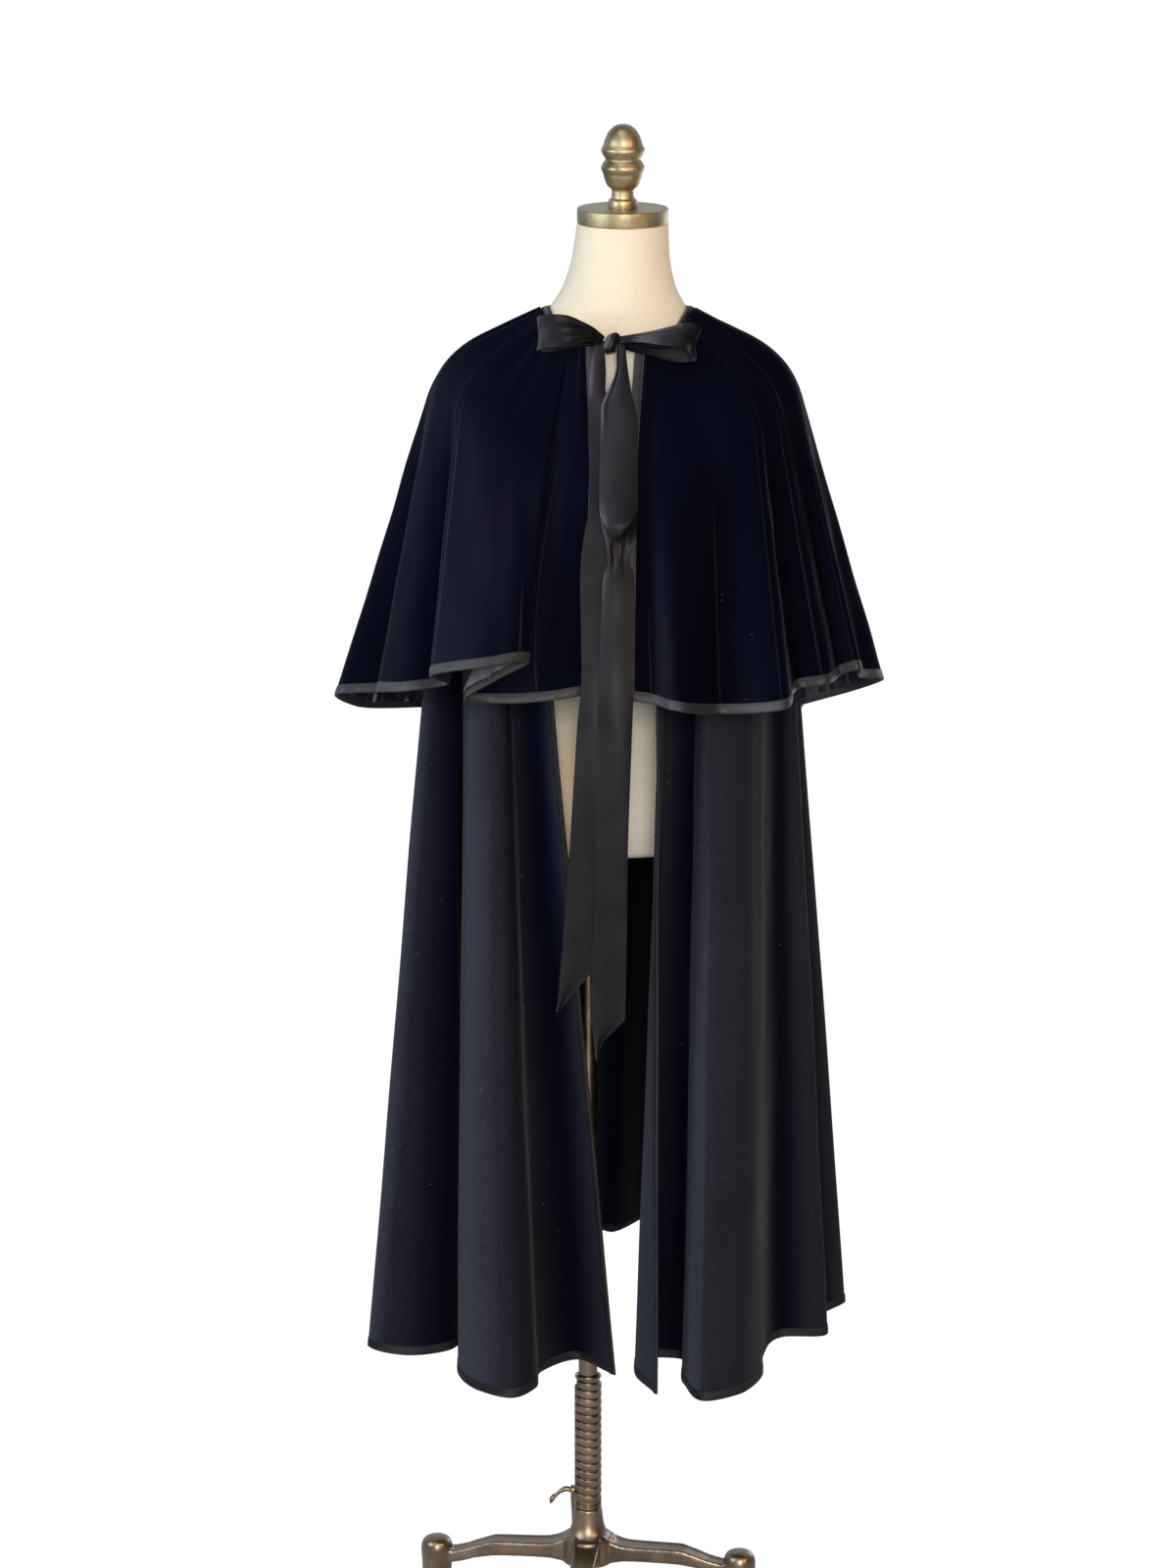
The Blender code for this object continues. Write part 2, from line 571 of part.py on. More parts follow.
def make_tie(axis, satin):
    make_neckband(axis, satin)
    place("bow_loop_left", ribbon("bow_loop_left", LOOP_LEFT, LOOP_STEPS), satin, axis)
    place("bow_loop_right", ribbon("bow_loop_right", LOOP_RIGHT, LOOP_STEPS), satin, axis)
    rings = []
    for height, wide, deep in KNOT_SECTIONS:
        turns = [math.tau * k / KNOT_STEPS for k in range(KNOT_STEPS)]
        rings.append([(wide * squared(math.cos(a)), deep * squared(math.sin(a)), height) for a in turns])
    place("bow_knot", lofted("bow_knot", rings), satin, axis, KNOT_MIDDLE)
    place("tail_left", tail("tail_left", TAIL_LEFT, TAIL_END["left"]), satin, axis)
    place("tail_right", tail("tail_right", TAIL_RIGHT, TAIL_END["right"]), satin, axis)


def make_form(axis, finishes):
    angles = np.arange(FORM_STEPS) * 360.0 / FORM_STEPS
    rings = [form_point(angles, np.full(FORM_STEPS, height)) for height in FORM_SECTIONS[:, 0]]
    place("form_torso", lofted("form_torso", rings), finishes["linen"], axis)
    collar = ((0.0, COLLAR_PROFILE[0][1]), *COLLAR_PROFILE, (0.0, COLLAR_PROFILE[-1][1]))
    place("form_collar", turned("form_collar", collar, 28), finishes["bronze"], axis)
    top = FORM_LEAN * (NECK_TOP - FORM_BOTTOM)
    rim = 0.0015
    cap = (
        (0.0, CAP_HEIGHT), (CAP_RADIUS - rim, CAP_HEIGHT), (CAP_RADIUS, CAP_HEIGHT - rim),
        (CAP_RADIUS, rim), (CAP_RADIUS - rim, 0.0), (0.0, 0.0),
    )
    base = (top, 0.0, NECK_TOP + GAP)
    place("neck_cap", turned("neck_cap", cap, 40), finishes["brass"], axis, base, CAP_TILT)
    rise = CAP_HEIGHT + GAP
    seat = (top, -rise * math.sin(CAP_TILT), NECK_TOP + GAP + rise * math.cos(CAP_TILT))
    finial = ((0.0, 0.0), *FINIAL_PROFILE, (0.0, FINIAL_TOP))
    place("finial", turned("finial", finial, 20), finishes["brass"], axis, seat, CAP_TILT)


def leg_mesh(name, turn):
    rings = []
    along, across = np.array((math.cos(turn), math.sin(turn))), np.array((-math.sin(turn), math.cos(turn)))
    for reach, half, low, edge, crest in LEG_SECTIONS:
        top = half * LEG_TOP_SHARE
        outline = ((-half, low), (half, low), (half, edge), (top, crest), (-top, crest), (-half, edge))
        rings.append([(*(along * reach + across * side), height) for side, height in outline])
    return lofted(name, rings)


def make_stand(axis, finishes):
    pole = ((0.0, POLE_HIGH), (POLE_RADIUS, POLE_HIGH), (POLE_RADIUS, POLE_LOW), (0.0, POLE_LOW))
    place("pole", turned("pole", pole, 24), finishes["bronze"], axis)
    pitch = (SLEEVE_HIGH - SLEEVE_LOW) / SLEEVE_COILS
    coils = []
    for i in range(SLEEVE_COILS):
        top = SLEEVE_HIGH - i * pitch
        coils += [(SLEEVE_GROOVE, top), (SLEEVE_CREST, top - pitch / 2)]
    sleeve = ((BORE_RADIUS, SLEEVE_HIGH), *coils, (SLEEVE_GROOVE, SLEEVE_LOW), (BORE_RADIUS, SLEEVE_LOW),
              (BORE_RADIUS, SLEEVE_HIGH))
    place("coil_sleeve", turned("coil_sleeve", sleeve, 16), finishes["bronze"], axis)
    hub = ((0.0, BORE_FLOOR), (BORE_RADIUS, BORE_FLOOR), (BORE_RADIUS, HUB_PROFILE[0][1]), *HUB_PROFILE,
           (0.0, HUB_PROFILE[-1][1]))
    place("hub", turned("hub", hub, 24), finishes["bronze"], axis)
    for label, degrees in LEG_TURNS.items():
        turn = math.radians(degrees)
        place(f"leg_{label}", leg_mesh(f"leg_{label}", turn), finishes["bronze"], axis)
        foot = ((0.0, FOOT_TOP), *FOOT_PROFILE, (0.0, 0.0))
        at = (FOOT_REACH * math.cos(turn), FOOT_REACH * math.sin(turn), 0.0)
        place(f"foot_{label}", turned(f"foot_{label}", foot, 14), finishes["bronze"], axis, at)
    sides = 10
    rings = []
    for x, z, radius in LEVER_PROFILE:
        around = [math.tau * k / sides for k in range(sides)]
        rings.append([(x, radius * math.cos(a), z + radius * math.sin(a)) for a in around])
    place("clamp_lever", lofted("clamp_lever", rings), finishes["bronze"], axis)


def main():
    clear_scene()
    finishes = make_finishes()
    axis = bpy.data.objects.new("stand_axis", None)
    axis.location = POLE_PLACE
    bpy.context.scene.collection.objects.link(axis)
    cape, caplet = make_tiers()
    make_tier(cape, "cape", CAPE_LEVELS, CAPE_COLUMNS, WOOL, CAPE_BINDING,
              finishes["wool"], finishes["satin"], None, axis)
    make_tier(caplet, "caplet", CAPLET_LEVELS, CAPLET_COLUMNS, VELVET, CAPLET_BINDING,
              finishes["velvet"], finishes["satin"], finishes["satin"], axis)
    make_tie(axis, finishes["satin"])
    make_form(axis, finishes)
    make_stand(axis, finishes)


main()
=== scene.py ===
"""Looks of a two-tier tie-front cape on a dress form with a brass stand.

Metres, +Z up, the cape's open front towards -Y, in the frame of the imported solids. Left and right are as
seen from the front. Points are worked out about the stand's pole, and each finished mesh is moved to it.
Angles round the figure run from the front (0) past the left (90), the back (180) and the right (270).
"""

import json
import math

import bmesh
import bpy
import numpy as np
from mathutils import Matrix, Vector

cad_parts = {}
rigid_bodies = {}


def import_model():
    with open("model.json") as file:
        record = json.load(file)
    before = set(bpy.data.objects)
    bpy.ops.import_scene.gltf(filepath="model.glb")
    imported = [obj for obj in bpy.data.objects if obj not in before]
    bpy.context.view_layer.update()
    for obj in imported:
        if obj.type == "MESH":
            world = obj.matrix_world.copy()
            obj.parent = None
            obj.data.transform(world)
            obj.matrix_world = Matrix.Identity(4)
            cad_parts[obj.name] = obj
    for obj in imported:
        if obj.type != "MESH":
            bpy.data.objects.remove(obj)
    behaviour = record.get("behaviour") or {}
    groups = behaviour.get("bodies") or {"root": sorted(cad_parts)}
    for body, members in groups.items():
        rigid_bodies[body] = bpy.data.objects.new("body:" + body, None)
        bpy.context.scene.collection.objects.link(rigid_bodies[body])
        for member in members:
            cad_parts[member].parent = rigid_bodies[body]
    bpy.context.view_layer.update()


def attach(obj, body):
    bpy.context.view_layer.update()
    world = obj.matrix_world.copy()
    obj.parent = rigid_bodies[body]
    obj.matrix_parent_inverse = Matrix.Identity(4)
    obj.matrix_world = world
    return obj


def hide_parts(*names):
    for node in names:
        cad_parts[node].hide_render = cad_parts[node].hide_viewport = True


for leftover in list(bpy.data.objects):
    bpy.data.objects.remove(leftover)
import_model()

# Frame and camera
POLE = Vector((-0.0265, -0.0036, 0.0))
CAMERA_PLACE = Vector((0.0, -3.0, 1.25))
CAMERA_AIM = Vector((0.0, 0.0, 0.936))
CAMERA_LENS = 62.3

# Cloth thicknesses and seams
GAP = 0.0003
WOOL = 0.002
VELVET = 0.002
LINING = 0.001
RIBBON = 0.0006
RIBBON_WIDTH = 0.038
LINING_GAP = 0.0006
BINDING_PROUD = 0.0006
CAPE_BINDING = 0.010
CAPLET_BINDING = 0.011
# How far a panel reaches into its bindings
TUCK = 0.0026
GATHER = 0.0025
# Each tier's cloth: name of its solids, grid round the hem and down, seed of the bindings' swells, thickness,
# width of its bindings
CLOTHS = {
    "wool": {
        "solids": "cape", "columns": 400, "levels": 116, "seed": 31,
        "thickness": WOOL, "binding": CAPE_BINDING,
    },
    "velvet": {
        "solids": "caplet", "columns": 560, "levels": 90, "seed": 33,
        "thickness": VELVET, "binding": CAPLET_BINDING,
    },
}
# Panels of each tier: name, side, first and last share round the hem
PANELS = (
    ("front_left", "left", 0.0, 0.318),
    ("back", "back", 0.318, 0.690),
    ("front_right", "right", 0.690, 1.0),
)
# Lining: the level at which it starts, its grid, and where the curled front that shows it in full light ends
LINING_FROM = 0.57
LINING_COLUMNS = 640
LINING_LEVELS = 28
CURL_END = 0.155
# Gathers of the lining round the whole hem, how deep they are, and how far it hangs slack between them
LINING_GATHERS = 250
LINING_GATHER_DEPTH = 0.0024
LINING_SLACK = 0.0009
# Section of a binding folded round an edge: share of its width from the edge, share of its depth outwards
BINDING_SECTION = (
    (0.99, 0.62), (0.975, 0.90), (0.94, 0.99), (0.90, 0.99), (0.87, 0.91), (0.84, 0.99),
    (0.50, 1.02), (0.12, 1.0), (0.05, 0.93), (0.012, 0.75), (0.0, 0.5), (0.012, 0.25),
    (0.05, 0.07), (0.12, 0.0), (0.50, -0.02), (0.90, 0.0), (0.975, 0.10), (0.99, 0.38),
)
BINDING_GROOVE = 4
# Rings to a metre of binding, and the small swells along it: shortest and longest wave, number, depth
BINDING_RINGS = 420
BINDING_SHARP = 60.0
SWELL_WAVES = (0.006, 0.022)
SWELL_COUNT = 7
SWELL_DEPTH = 0.00006
STITCH_PITCH = 0.0042
STITCH_LENGTH = 0.0022
STITCH_RADIUS = 0.00022
LINT_SIZE = 0.00042
LINT_SEED = 21
CAPE_LINT = 190
CAPLET_LINT = 34

# Neckband
BAND_HEIGHT = 0.006
BAND_INNER = 0.0012
BAND_OUTER = 0.0060
BAND_OPENING = (4.2, 355.6)
BAND_RINGS = 420
BAND_SIDES = 20
BAND_GATHERS = 46
BAND_GATHER_DEPTH = 0.0004
NECK_LINE = {"front": 1.410, "side": 1.455, "back": 1.484}
NECK_OPENING = (9.7, 351.4)

# Dress form: height, half width, depth to the front, depth to the back
FORM_BOTTOM = 0.865
FORM_FILLET = 0.007
FORM_SIDES = 176
FORM_RINGS = 150
FORM_LEAN = 0.055
FORM_SECTIONS = np.array((
    (0.865, 0.138, 0.104, 0.100),
    (0.888, 0.144, 0.109, 0.104),
    (0.967, 0.134, 0.104, 0.096),
    (1.048, 0.118, 0.096, 0.084),
    (1.138, 0.134, 0.112, 0.090),
    (1.237, 0.150, 0.130, 0.099),
    (1.306, 0.158, 0.121, 0.102),
    (1.356, 0.157, 0.103, 0.097),
    (1.386, 0.151, 0.091, 0.091),
    (1.402, 0.138, 0.083, 0.087),
    (1.413, 0.124, 0.078, 0.084),
    (1.424, 0.107, 0.072, 0.080),
    (1.434, 0.093, 0.066, 0.075),
    (1.446, 0.081, 0.059, 0.069),
    (1.462, 0.073, 0.054, 0.063),
    (1.478, 0.0635, 0.050, 0.057),
    (1.502, 0.0557, 0.047, 0.053),
    (1.550, 0.0495, 0.046, 0.0495),
))
CAP_TILT = math.radians(14.0)
TILT_FROM = 1.470
NECK_TOP = 1.550
# Seams of the cover: heights of the neck seam at the front, side and back, and where the long seams run
NECK_SEAM = (1.446, 1.456, 1.472)
LONG_SEAMS = (0.5, 90.0, 180.0, 270.0)
SEAM_RADIUS = 0.00045

# Brass on the neck
CAP_RADIUS = 0.0497
CAP_HEIGHT = 0.016
CAP_RIM = 0.0014
CAP_SIDES = 128
FINIAL_SIDES = 72
FINIAL_RINGS = 150
# Finial: radius, height
FINIAL_PROFILE = np.array((
    (0.0158, 0.0), (0.0160, 0.0040), (0.0152, 0.0082), (0.0128, 0.0101), (0.0121, 0.0150),
    (0.0126, 0.0197), (0.0170, 0.0236), (0.0204, 0.0317), (0.0214, 0.0361), (0.0237, 0.0423),
    (0.0216, 0.0476), (0.0190, 0.0515), (0.0214, 0.0558), (0.0237, 0.0613), (0.0213, 0.0669),
    (0.0190, 0.0741), (0.0150, 0.0813), (0.0090, 0.0866), (0.0040, 0.0882),
))
FINIAL_TOP = 0.0885

# Stand
ROUND_SIDES = 64
FOOT_SIDES = 48
LEVER_SIDES = 20
POLE_RADIUS = 0.0106
POLE_LOW = 0.104
POLE_HIGH = 0.8287
POLE_CHAMFER = 0.0006
BORE_RADIUS = 0.0112
SLEEVE_LOW = 0.1060
SLEEVE_HIGH = 0.261
# Sleeve: its main turns, the height of its foot with the fine turns and of the rim on top
SLEEVE_COILS = 14.4
SLEEVE_FOOT = 0.0058
SLEEVE_RIM = 0.004
COIL_BAND = {"Radius": 0.0141, "Band depth": 0.0026, "Corner": 0.0012}
FINE_BAND = {
    "Turns": 3.0, "Radius": 0.0146, "Rise": 0.0048,
    "Band height": 0.0014, "Band depth": 0.0018, "Corner": 0.0006,
}
# Hub: radius, height, from the rim of its bore down the outside
HUB_PROFILE = (
    (0.0160, 0.1057), (0.0164, 0.1000), (0.0172, 0.0930), (0.0182, 0.0870), (0.0198, 0.0815),
    (0.0222, 0.0765), (0.0258, 0.0725), (0.0300, 0.0700), (0.0300, 0.0460), (0.0265, 0.0420),
)
BORE_FLOOR = 0.060
# Direction of each leg from the pole, in degrees from the right
LEG_TURNS = {"right": -10.0, "back": 91.0, "left": 175.0, "front": 265.0}
# Leg: distance from the pole, half width, underside, height of the top's raised edges
LEG_SECTIONS = (
    (0.0120, 0.0150, 0.0440, 0.0790),
    (0.0220, 0.0150, 0.0445, 0.0745),
    (0.0304, 0.0150, 0.0450, 0.0697),
    (0.0420, 0.0145, 0.0470, 0.0662),
    (0.0600, 0.0140, 0.0478, 0.0652),
    (0.0900, 0.0136, 0.0478, 0.0652),
    (0.1083, 0.0132, 0.0470, 0.0647),
    (0.1190, 0.0128, 0.0455, 0.0617),
    (0.1300, 0.0122, 0.0435, 0.0583),
    (0.1408, 0.0114, 0.0400, 0.0547),
    (0.1560, 0.0112, 0.0370, 0.0520),
    (0.1660, 0.0125, 0.0370, 0.0545),
)
# In from a leg's side to the inside of its raised edge, to the hollow between them and to its bevel
LEG_LIP = 0.0030
LEG_HOLLOW = 0.0060
LEG_BEVEL = 0.0012
FOOT_REACH = 0.1745
# Foot: radius, height
FOOT_PROFILE = np.array((
    (0.0040, 0.0658), (0.0090, 0.0650), (0.0150, 0.0618), (0.0178, 0.0550), (0.0180, 0.0480),
    (0.0172, 0.0360), (0.0166, 0.0200), (0.0170, 0.0090), (0.0170, 0.0030), (0.0150, 0.0),
))
# Size of the grains into which the base's shapes are run together
CAST_GRAIN = 0.0015
# Collar under the form: radius, height
COLLAR_PROFILE = (
    (0.0420, 0.8647), (0.0420, 0.8600), (0.030, 0.8580), (0.0210, 0.8550), (0.0192, 0.8500),
    (0.0190, 0.8296), (0.0184, 0.8290),
)
# Clamp lever: x, z and radius from its boss to its ball end
LEVER_PROFILE = (
    (-0.0158, 0.1255, 0.0052), (-0.0190, 0.1255, 0.0052), (-0.0195, 0.1255, 0.0044),
    (-0.0202, 0.1256, 0.0032), (-0.0236, 0.1262, 0.0030), (-0.0270, 0.1260, 0.0030),
    (-0.0300, 0.1246, 0.0029), (-0.0330, 0.1225, 0.0028), (-0.0374, 0.1179, 0.0028),
    (-0.0386, 0.1168, 0.0036), (-0.0399, 0.1157, 0.0042), (-0.0415, 0.1143, 0.0044),
    (-0.0431, 0.1130, 0.0038), (-0.0440, 0.1122, 0.0026),
)

# Hem of each tier, a row for each fold: lead is its angle where it leaves the shoulders,
# crest is 1 on a ridge and -1 in a valley, then x, y and z of the hem about the pole
CAPLET_LEFT = (
    # lead, crest, x, y, z
    (5.0, 0, 0.006, -0.200, 1.0505),
    (13.0, 1, -0.052, -0.212, 1.0425),
    (17.0, 0, -0.104, -0.197, 1.0405),
    (19.5, -1, -0.128, -0.206, 1.0435),
    (21.0, 0, -0.098, -0.226, 1.0645),
    (23.0, 1, -0.062, -0.246, 1.0855),
    (40.0, 1, -0.105, -0.268, 1.0815),
    (57.0, 1, -0.157, -0.240, 1.0725),
    (65.0, -1, -0.152, -0.158, 1.0555),
    (74.0, 1, -0.188, -0.164, 1.0505),
    (84.0, 1, -0.221, -0.126, 1.0475),
    (90.0, -1, -0.224, -0.050, 1.0415),
    (98.0, 1, -0.273, -0.040, 1.0385),
    (105.0, 0, -0.257, 0.020, 1.0205),
)
CAPLET_RIGHT = (
    # lead, crest, x, y, z
    (256.0, 0, 0.300, 0.070, 1.0345),
    (266.0, 1, 0.326, 0.000, 1.0525),
    (276.0, -1, 0.2955, -0.052, 1.0575),
    (286.0, 1, 0.2865, -0.104, 1.0690),
    (293.0, -1, 0.2735, -0.092, 1.0640),
    (301.0, 1, 0.248, -0.143, 1.0555),
    (306.0, -1, 0.227, -0.138, 1.0525),
    (312.0, 1, 0.200, -0.214, 1.0345),
    (329.0, -1, 0.137, -0.188, 1.0285),
    (345.0, 1, 0.091, -0.230, 1.0345),
    (351.5, -1, 0.066, -0.206, 1.0405),
    (356.7, 0, 0.037, -0.210, 1.0445),
)
CAPE_LEFT = (
    # lead, crest, x, y, z
    (30.0, 0, 0.030, -0.175, 0.318),
    (37.0, -1, -0.013, -0.125, 0.318),
    (42.0, 0, -0.050, -0.165, 0.318),
    (46.0, 0, -0.058, -0.222, 0.318),
    (50.0, 1, -0.078, -0.250, 0.318),
    (56.0, 1, -0.112, -0.228, 0.318),
    (62.0, 0, -0.135, -0.175, 0.318),
    (69.0, -1, -0.140, -0.060, 0.321),
    (75.0, 0, -0.155, -0.102, 0.320),
    (82.0, 1, -0.197, -0.113, 0.320),
    (90.0, 1, -0.238, -0.090, 0.322),
)
CAPE_RIGHT = (
    # lead, crest, x, y, z
    (262.0, 1, 0.292, 0.035, 0.335),
    (269.0, -1, 0.258, -0.005, 0.330),
    (277.0, 1, 0.262, -0.058, 0.325),
    (287.0, -1, 0.216, -0.055, 0.322),
    (296.0, 0, 0.188, -0.120, 0.320),
    (304.0, 0, 0.182, -0.180, 0.318),
    (312.0, 1, 0.155, -0.240, 0.318),
    (320.0, 1, 0.122, -0.260, 0.318),
    (327.0, 0, 0.103, -0.205, 0.318),
    (333.0, -1, 0.098, -0.118, 0.318),
    (339.0, 0, 0.062, -0.118, 0.318),
    (343.0, 0, 0.052, -0.175, 0.318),
    (346.5, 0, 0.071, -0.239, 0.318),
)
# Folds round the back: first and last lead, first and last angle about the hem's middle,
# hem heights at the side and the middle, then a reach for each valley and ridge in turn
CAPLET_BACK = {
    "lead": (113.0, 248.0), "angle": (113.0, 247.0), "height": (1.0155, 0.9955),
    "reach": (0.222, 0.266, 0.210, 0.272, 0.214, 0.275, 0.206, 0.270, 0.212, 0.268, 0.226),
}
CAPE_BACK = {
    "lead": (99.0, 253.0), "angle": (86.0, 250.0), "height": (0.325, 0.388),
    "reach": (0.186, 0.246, 0.172, 0.238, 0.160, 0.232, 0.150, 0.226, 0.142, 0.224,
              0.158, 0.236, 0.172, 0.250, 0.196),
}

# Creases: share round the hem at the upper end and at the lower end, level of each end (over 1 runs off the
# hem), half width, height out of the cloth
CAPLET_CREASES = (
    (0.030, 0.026, 0.30, 1.30, 0.010, 0.0012),
    (0.112, 0.108, 0.18, 1.40, 0.016, 0.0048),
    (0.150, 0.128, 0.12, 0.95, 0.020, -0.0022),
    (0.186, 0.176, 0.25, 1.20, 0.012, -0.0016),
    (0.205, 0.212, 0.10, 0.80, 0.014, 0.0016),
    (0.245, 0.250, 0.35, 1.30, 0.016, -0.0014),
    (0.300, 0.298, 0.08, 0.70, 0.018, 0.0020),
    (0.352, 0.348, 0.30, 1.25, 0.014, -0.0018),
    (0.398, 0.405, 0.12, 0.85, 0.018, 0.0020),
    (0.452, 0.449, 0.28, 1.30, 0.013, 0.0014),
    (0.508, 0.512, 0.10, 0.75, 0.020, -0.0022),
    (0.561, 0.557, 0.40, 1.30, 0.014, 0.0016),
    (0.618, 0.622, 0.14, 0.92, 0.016, -0.0018),
    (0.668, 0.664, 0.25, 1.30, 0.014, 0.0014),
    (0.738, 0.742, 0.10, 0.72, 0.016, 0.0018),
    (0.796, 0.799, 0.30, 1.20, 0.012, -0.0014),
    (0.842, 0.845, 0.12, 0.88, 0.014, 0.0016),
    (0.892, 0.890, 0.35, 1.30, 0.011, -0.0012),
    (0.934, 0.930, 0.10, 0.66, 0.014, 0.0018),
    (0.966, 0.979, 0.42, 1.40, 0.007, 0.0013),
    (0.988, 0.992, 0.48, 1.40, 0.006, 0.0012),
)
CAPE_CREASES = (
    (0.040, 0.034, 0.30, 1.30, 0.060, -0.0030),
    (0.108, 0.118, 0.40, 1.35, 0.045, 0.0016),
    (0.132, 0.140, 0.20, 0.95, 0.036, -0.0022),
    (0.183, 0.183, 0.15, 1.40, 0.020, -0.0045),
    (0.206, 0.206, 0.15, 1.40, 0.025, 0.0055),
    (0.226, 0.232, 0.40, 1.30, 0.040, -0.0028),
    (0.266, 0.262, 0.18, 0.80, 0.034, 0.0026),
    (0.312, 0.306, 0.35, 1.30, 0.036, -0.0026),
    (0.362, 0.368, 0.14, 0.70, 0.032, 0.0028),
    (0.412, 0.408, 0.40, 1.30, 0.038, -0.0026),
    (0.470, 0.474, 0.16, 0.78, 0.030, 0.0026),
    (0.528, 0.522, 0.42, 1.30, 0.040, 0.0024),
    (0.582, 0.588, 0.18, 0.85, 0.034, -0.0026),
    (0.640, 0.634, 0.38, 1.30, 0.038, 0.0024),
    (0.702, 0.706, 0.15, 0.72, 0.030, -0.0024),
    (0.758, 0.752, 0.40, 1.30, 0.038, 0.0026),
    (0.806, 0.812, 0.18, 0.82, 0.034, -0.0022),
    (0.848, 0.842, 0.38, 1.35, 0.044, 0.0016),
    (0.905, 0.912, 0.16, 0.90, 0.036, 0.0016),
    (0.968, 0.974, 0.40, 1.30, 0.030, -0.0018),
)

CAPLET_DROP = 0.42
# Painted sheen: thin light lines along the edges of the caplet's folds: lead, how far the line leans back
# round the hem towards the neck, start below the neck, half width, strength
CAPLET_SHEEN_LINES = (
    (13.0, 0.070, 0.06, 0.0020, 0.30), (29.0, 0.0, 0.28, 0.0018, 0.45), (57.0, 0.0, 0.08, 0.0024, 0.75),
    (84.0, 0.0, 0.08, 0.0022, 0.42), (98.0, 0.0, 0.12, 0.0022, 0.26), (126.0, 0.0, 0.14, 0.0022, 0.30),
    (153.0, 0.010, 0.10, 0.0026, 0.40), (180.0, 0.0, 0.16, 0.0022, 0.26), (208.0, -0.010, 0.10, 0.0026, 0.40),
    (235.0, 0.0, 0.14, 0.0022, 0.30), (266.0, 0.0, 0.12, 0.0022, 0.18), (286.0, 0.0, 0.10, 0.0020, 0.18),
    (301.0, 0.0, 0.08, 0.0022, 0.30), (312.0, 0.0, 0.06, 0.0022, 0.20), (329.0, 0.0, 0.14, 0.0018, 0.20),
    (351.5, 0.0, 0.26, 0.0020, 0.28),
)
# Painted light and shade on the caplet's folds: share round the hem, how far towards the light side
CAPLET_FOLD_LIGHT = (
    (0.000, 0.00), (0.085, 0.00), (0.104, 0.20), (0.128, 0.09), (0.150, 0.01), (0.156, -0.06),
    (0.226, -0.05), (0.232, -0.10), (0.285, -0.08), (0.320, 0.0), (0.740, 0.0), (0.780, -0.10),
    (0.875, -0.12), (0.912, -0.14), (0.942, -0.10), (0.946, 0.02), (1.000, 0.0),
)
# Parts of the long tier that lie deeper in shade, or less deep, than their folds alone: share round the hem,
# depth
CAPE_SHADED = (
    (0.000, 0.00), (0.058, 0.00), (0.067, 0.42), (0.074, 0.32), (0.097, 0.00), (0.150, 0.00), (0.168, 0.80),
    (0.190, 0.80), (0.206, 0.25), (0.216, 0.00), (0.250, 0.00), (0.800, 0.00), (0.815, -0.30), (0.850, -0.30),
    (0.862, 0.00), (1.000, 0.00),
)

# Ribbon along each loop: x, y, z, half width, then in degrees the lean of its width from upright to the back
# and its slant from upright to the right, then the depth of its bow and of its pleats
LOOP_LEFT = (
    (0.0154, -0.0945, 1.4175, 0.0050, 0, 0, 0.0, 0.0010),
    (0.0085, -0.0970, 1.4215, 0.0069, 8, 0, 0.0003, 0.0009),
    (-0.0005, -0.1008, 1.4252, 0.0096, 12, 0, -0.0006, 0.0006),
    (-0.0200, -0.1078, 1.4272, 0.0158, 8, 0, -0.0004, 0.0003),
    (-0.0380, -0.1068, 1.4276, 0.0171, 0, 0, 0.0006, 0.0),
    (-0.0490, -0.1010, 1.4262, 0.0171, -4, 0, 0.0, 0.0),
    (-0.0524, -0.0940, 1.4245, 0.0173, -4, 0, 0.0, 0.0),
    (-0.0480, -0.0900, 1.4236, 0.0173, 0, 0, 0.0, 0.0),
    (-0.0250, -0.0895, 1.4235, 0.0156, 0, 0, 0.0005, 0.0002),
    (-0.0020, -0.0900, 1.4210, 0.0094, 0, 0, 0.0005, 0.0004),
    (0.0160, -0.0905, 1.4170, 0.0050, 0, 0, 0.0, 0.0006),
)
LOOP_RIGHT = (
    (0.0338, -0.0960, 1.4180, 0.0042, 10, 0, 0.0, 0.0010),
    (0.0450, -0.1030, 1.4198, 0.0048, 40, 0, 0.0004, 0.0010),
    (0.0600, -0.1110, 1.4205, 0.0085, 52, 0, 0.0010, 0.0006),
    (0.0800, -0.1160, 1.4208, 0.0150, 50, 4, 0.0015, 0.0003),
    (0.0980, -0.1150, 1.4212, 0.0172, 42, 8, 0.0010, 0.0),
    (0.1095, -0.1090, 1.4188, 0.0172, 22, 14, 0.0003, 0.0),
    (0.1140, -0.1025, 1.4150, 0.0172, 5, 18, 0.0, 0.0),
    (0.1090, -0.0985, 1.4126, 0.0172, 0, 12, 0.0, 0.0),
    (0.0900, -0.0985, 1.4122, 0.0168, 0, 4, 0.0005, 0.0),
    (0.0650, -0.0970, 1.4125, 0.0105, 0, 0, 0.0005, 0.0003),
    (0.0338, -0.0915, 1.4145, 0.0048, 0, 0, 0.0, 0.0006),
)
LOOP_RINGS = 110
LOOP_RUN = 0.16
RIBBON_COLUMNS = 33
# How deep each loop's front lies in shade
LOOP_SHADED = {"left": 0.5, "right": 0.0}
KNOT_MIDDLE = (0.0255, -0.0925, 1.4150)
KNOT_LEAN = math.radians(16.0)
KNOT_HALF = (0.0076, 0.0084, 0.0112)
KNOT_SIDES = 64
KNOT_RINGS = 41
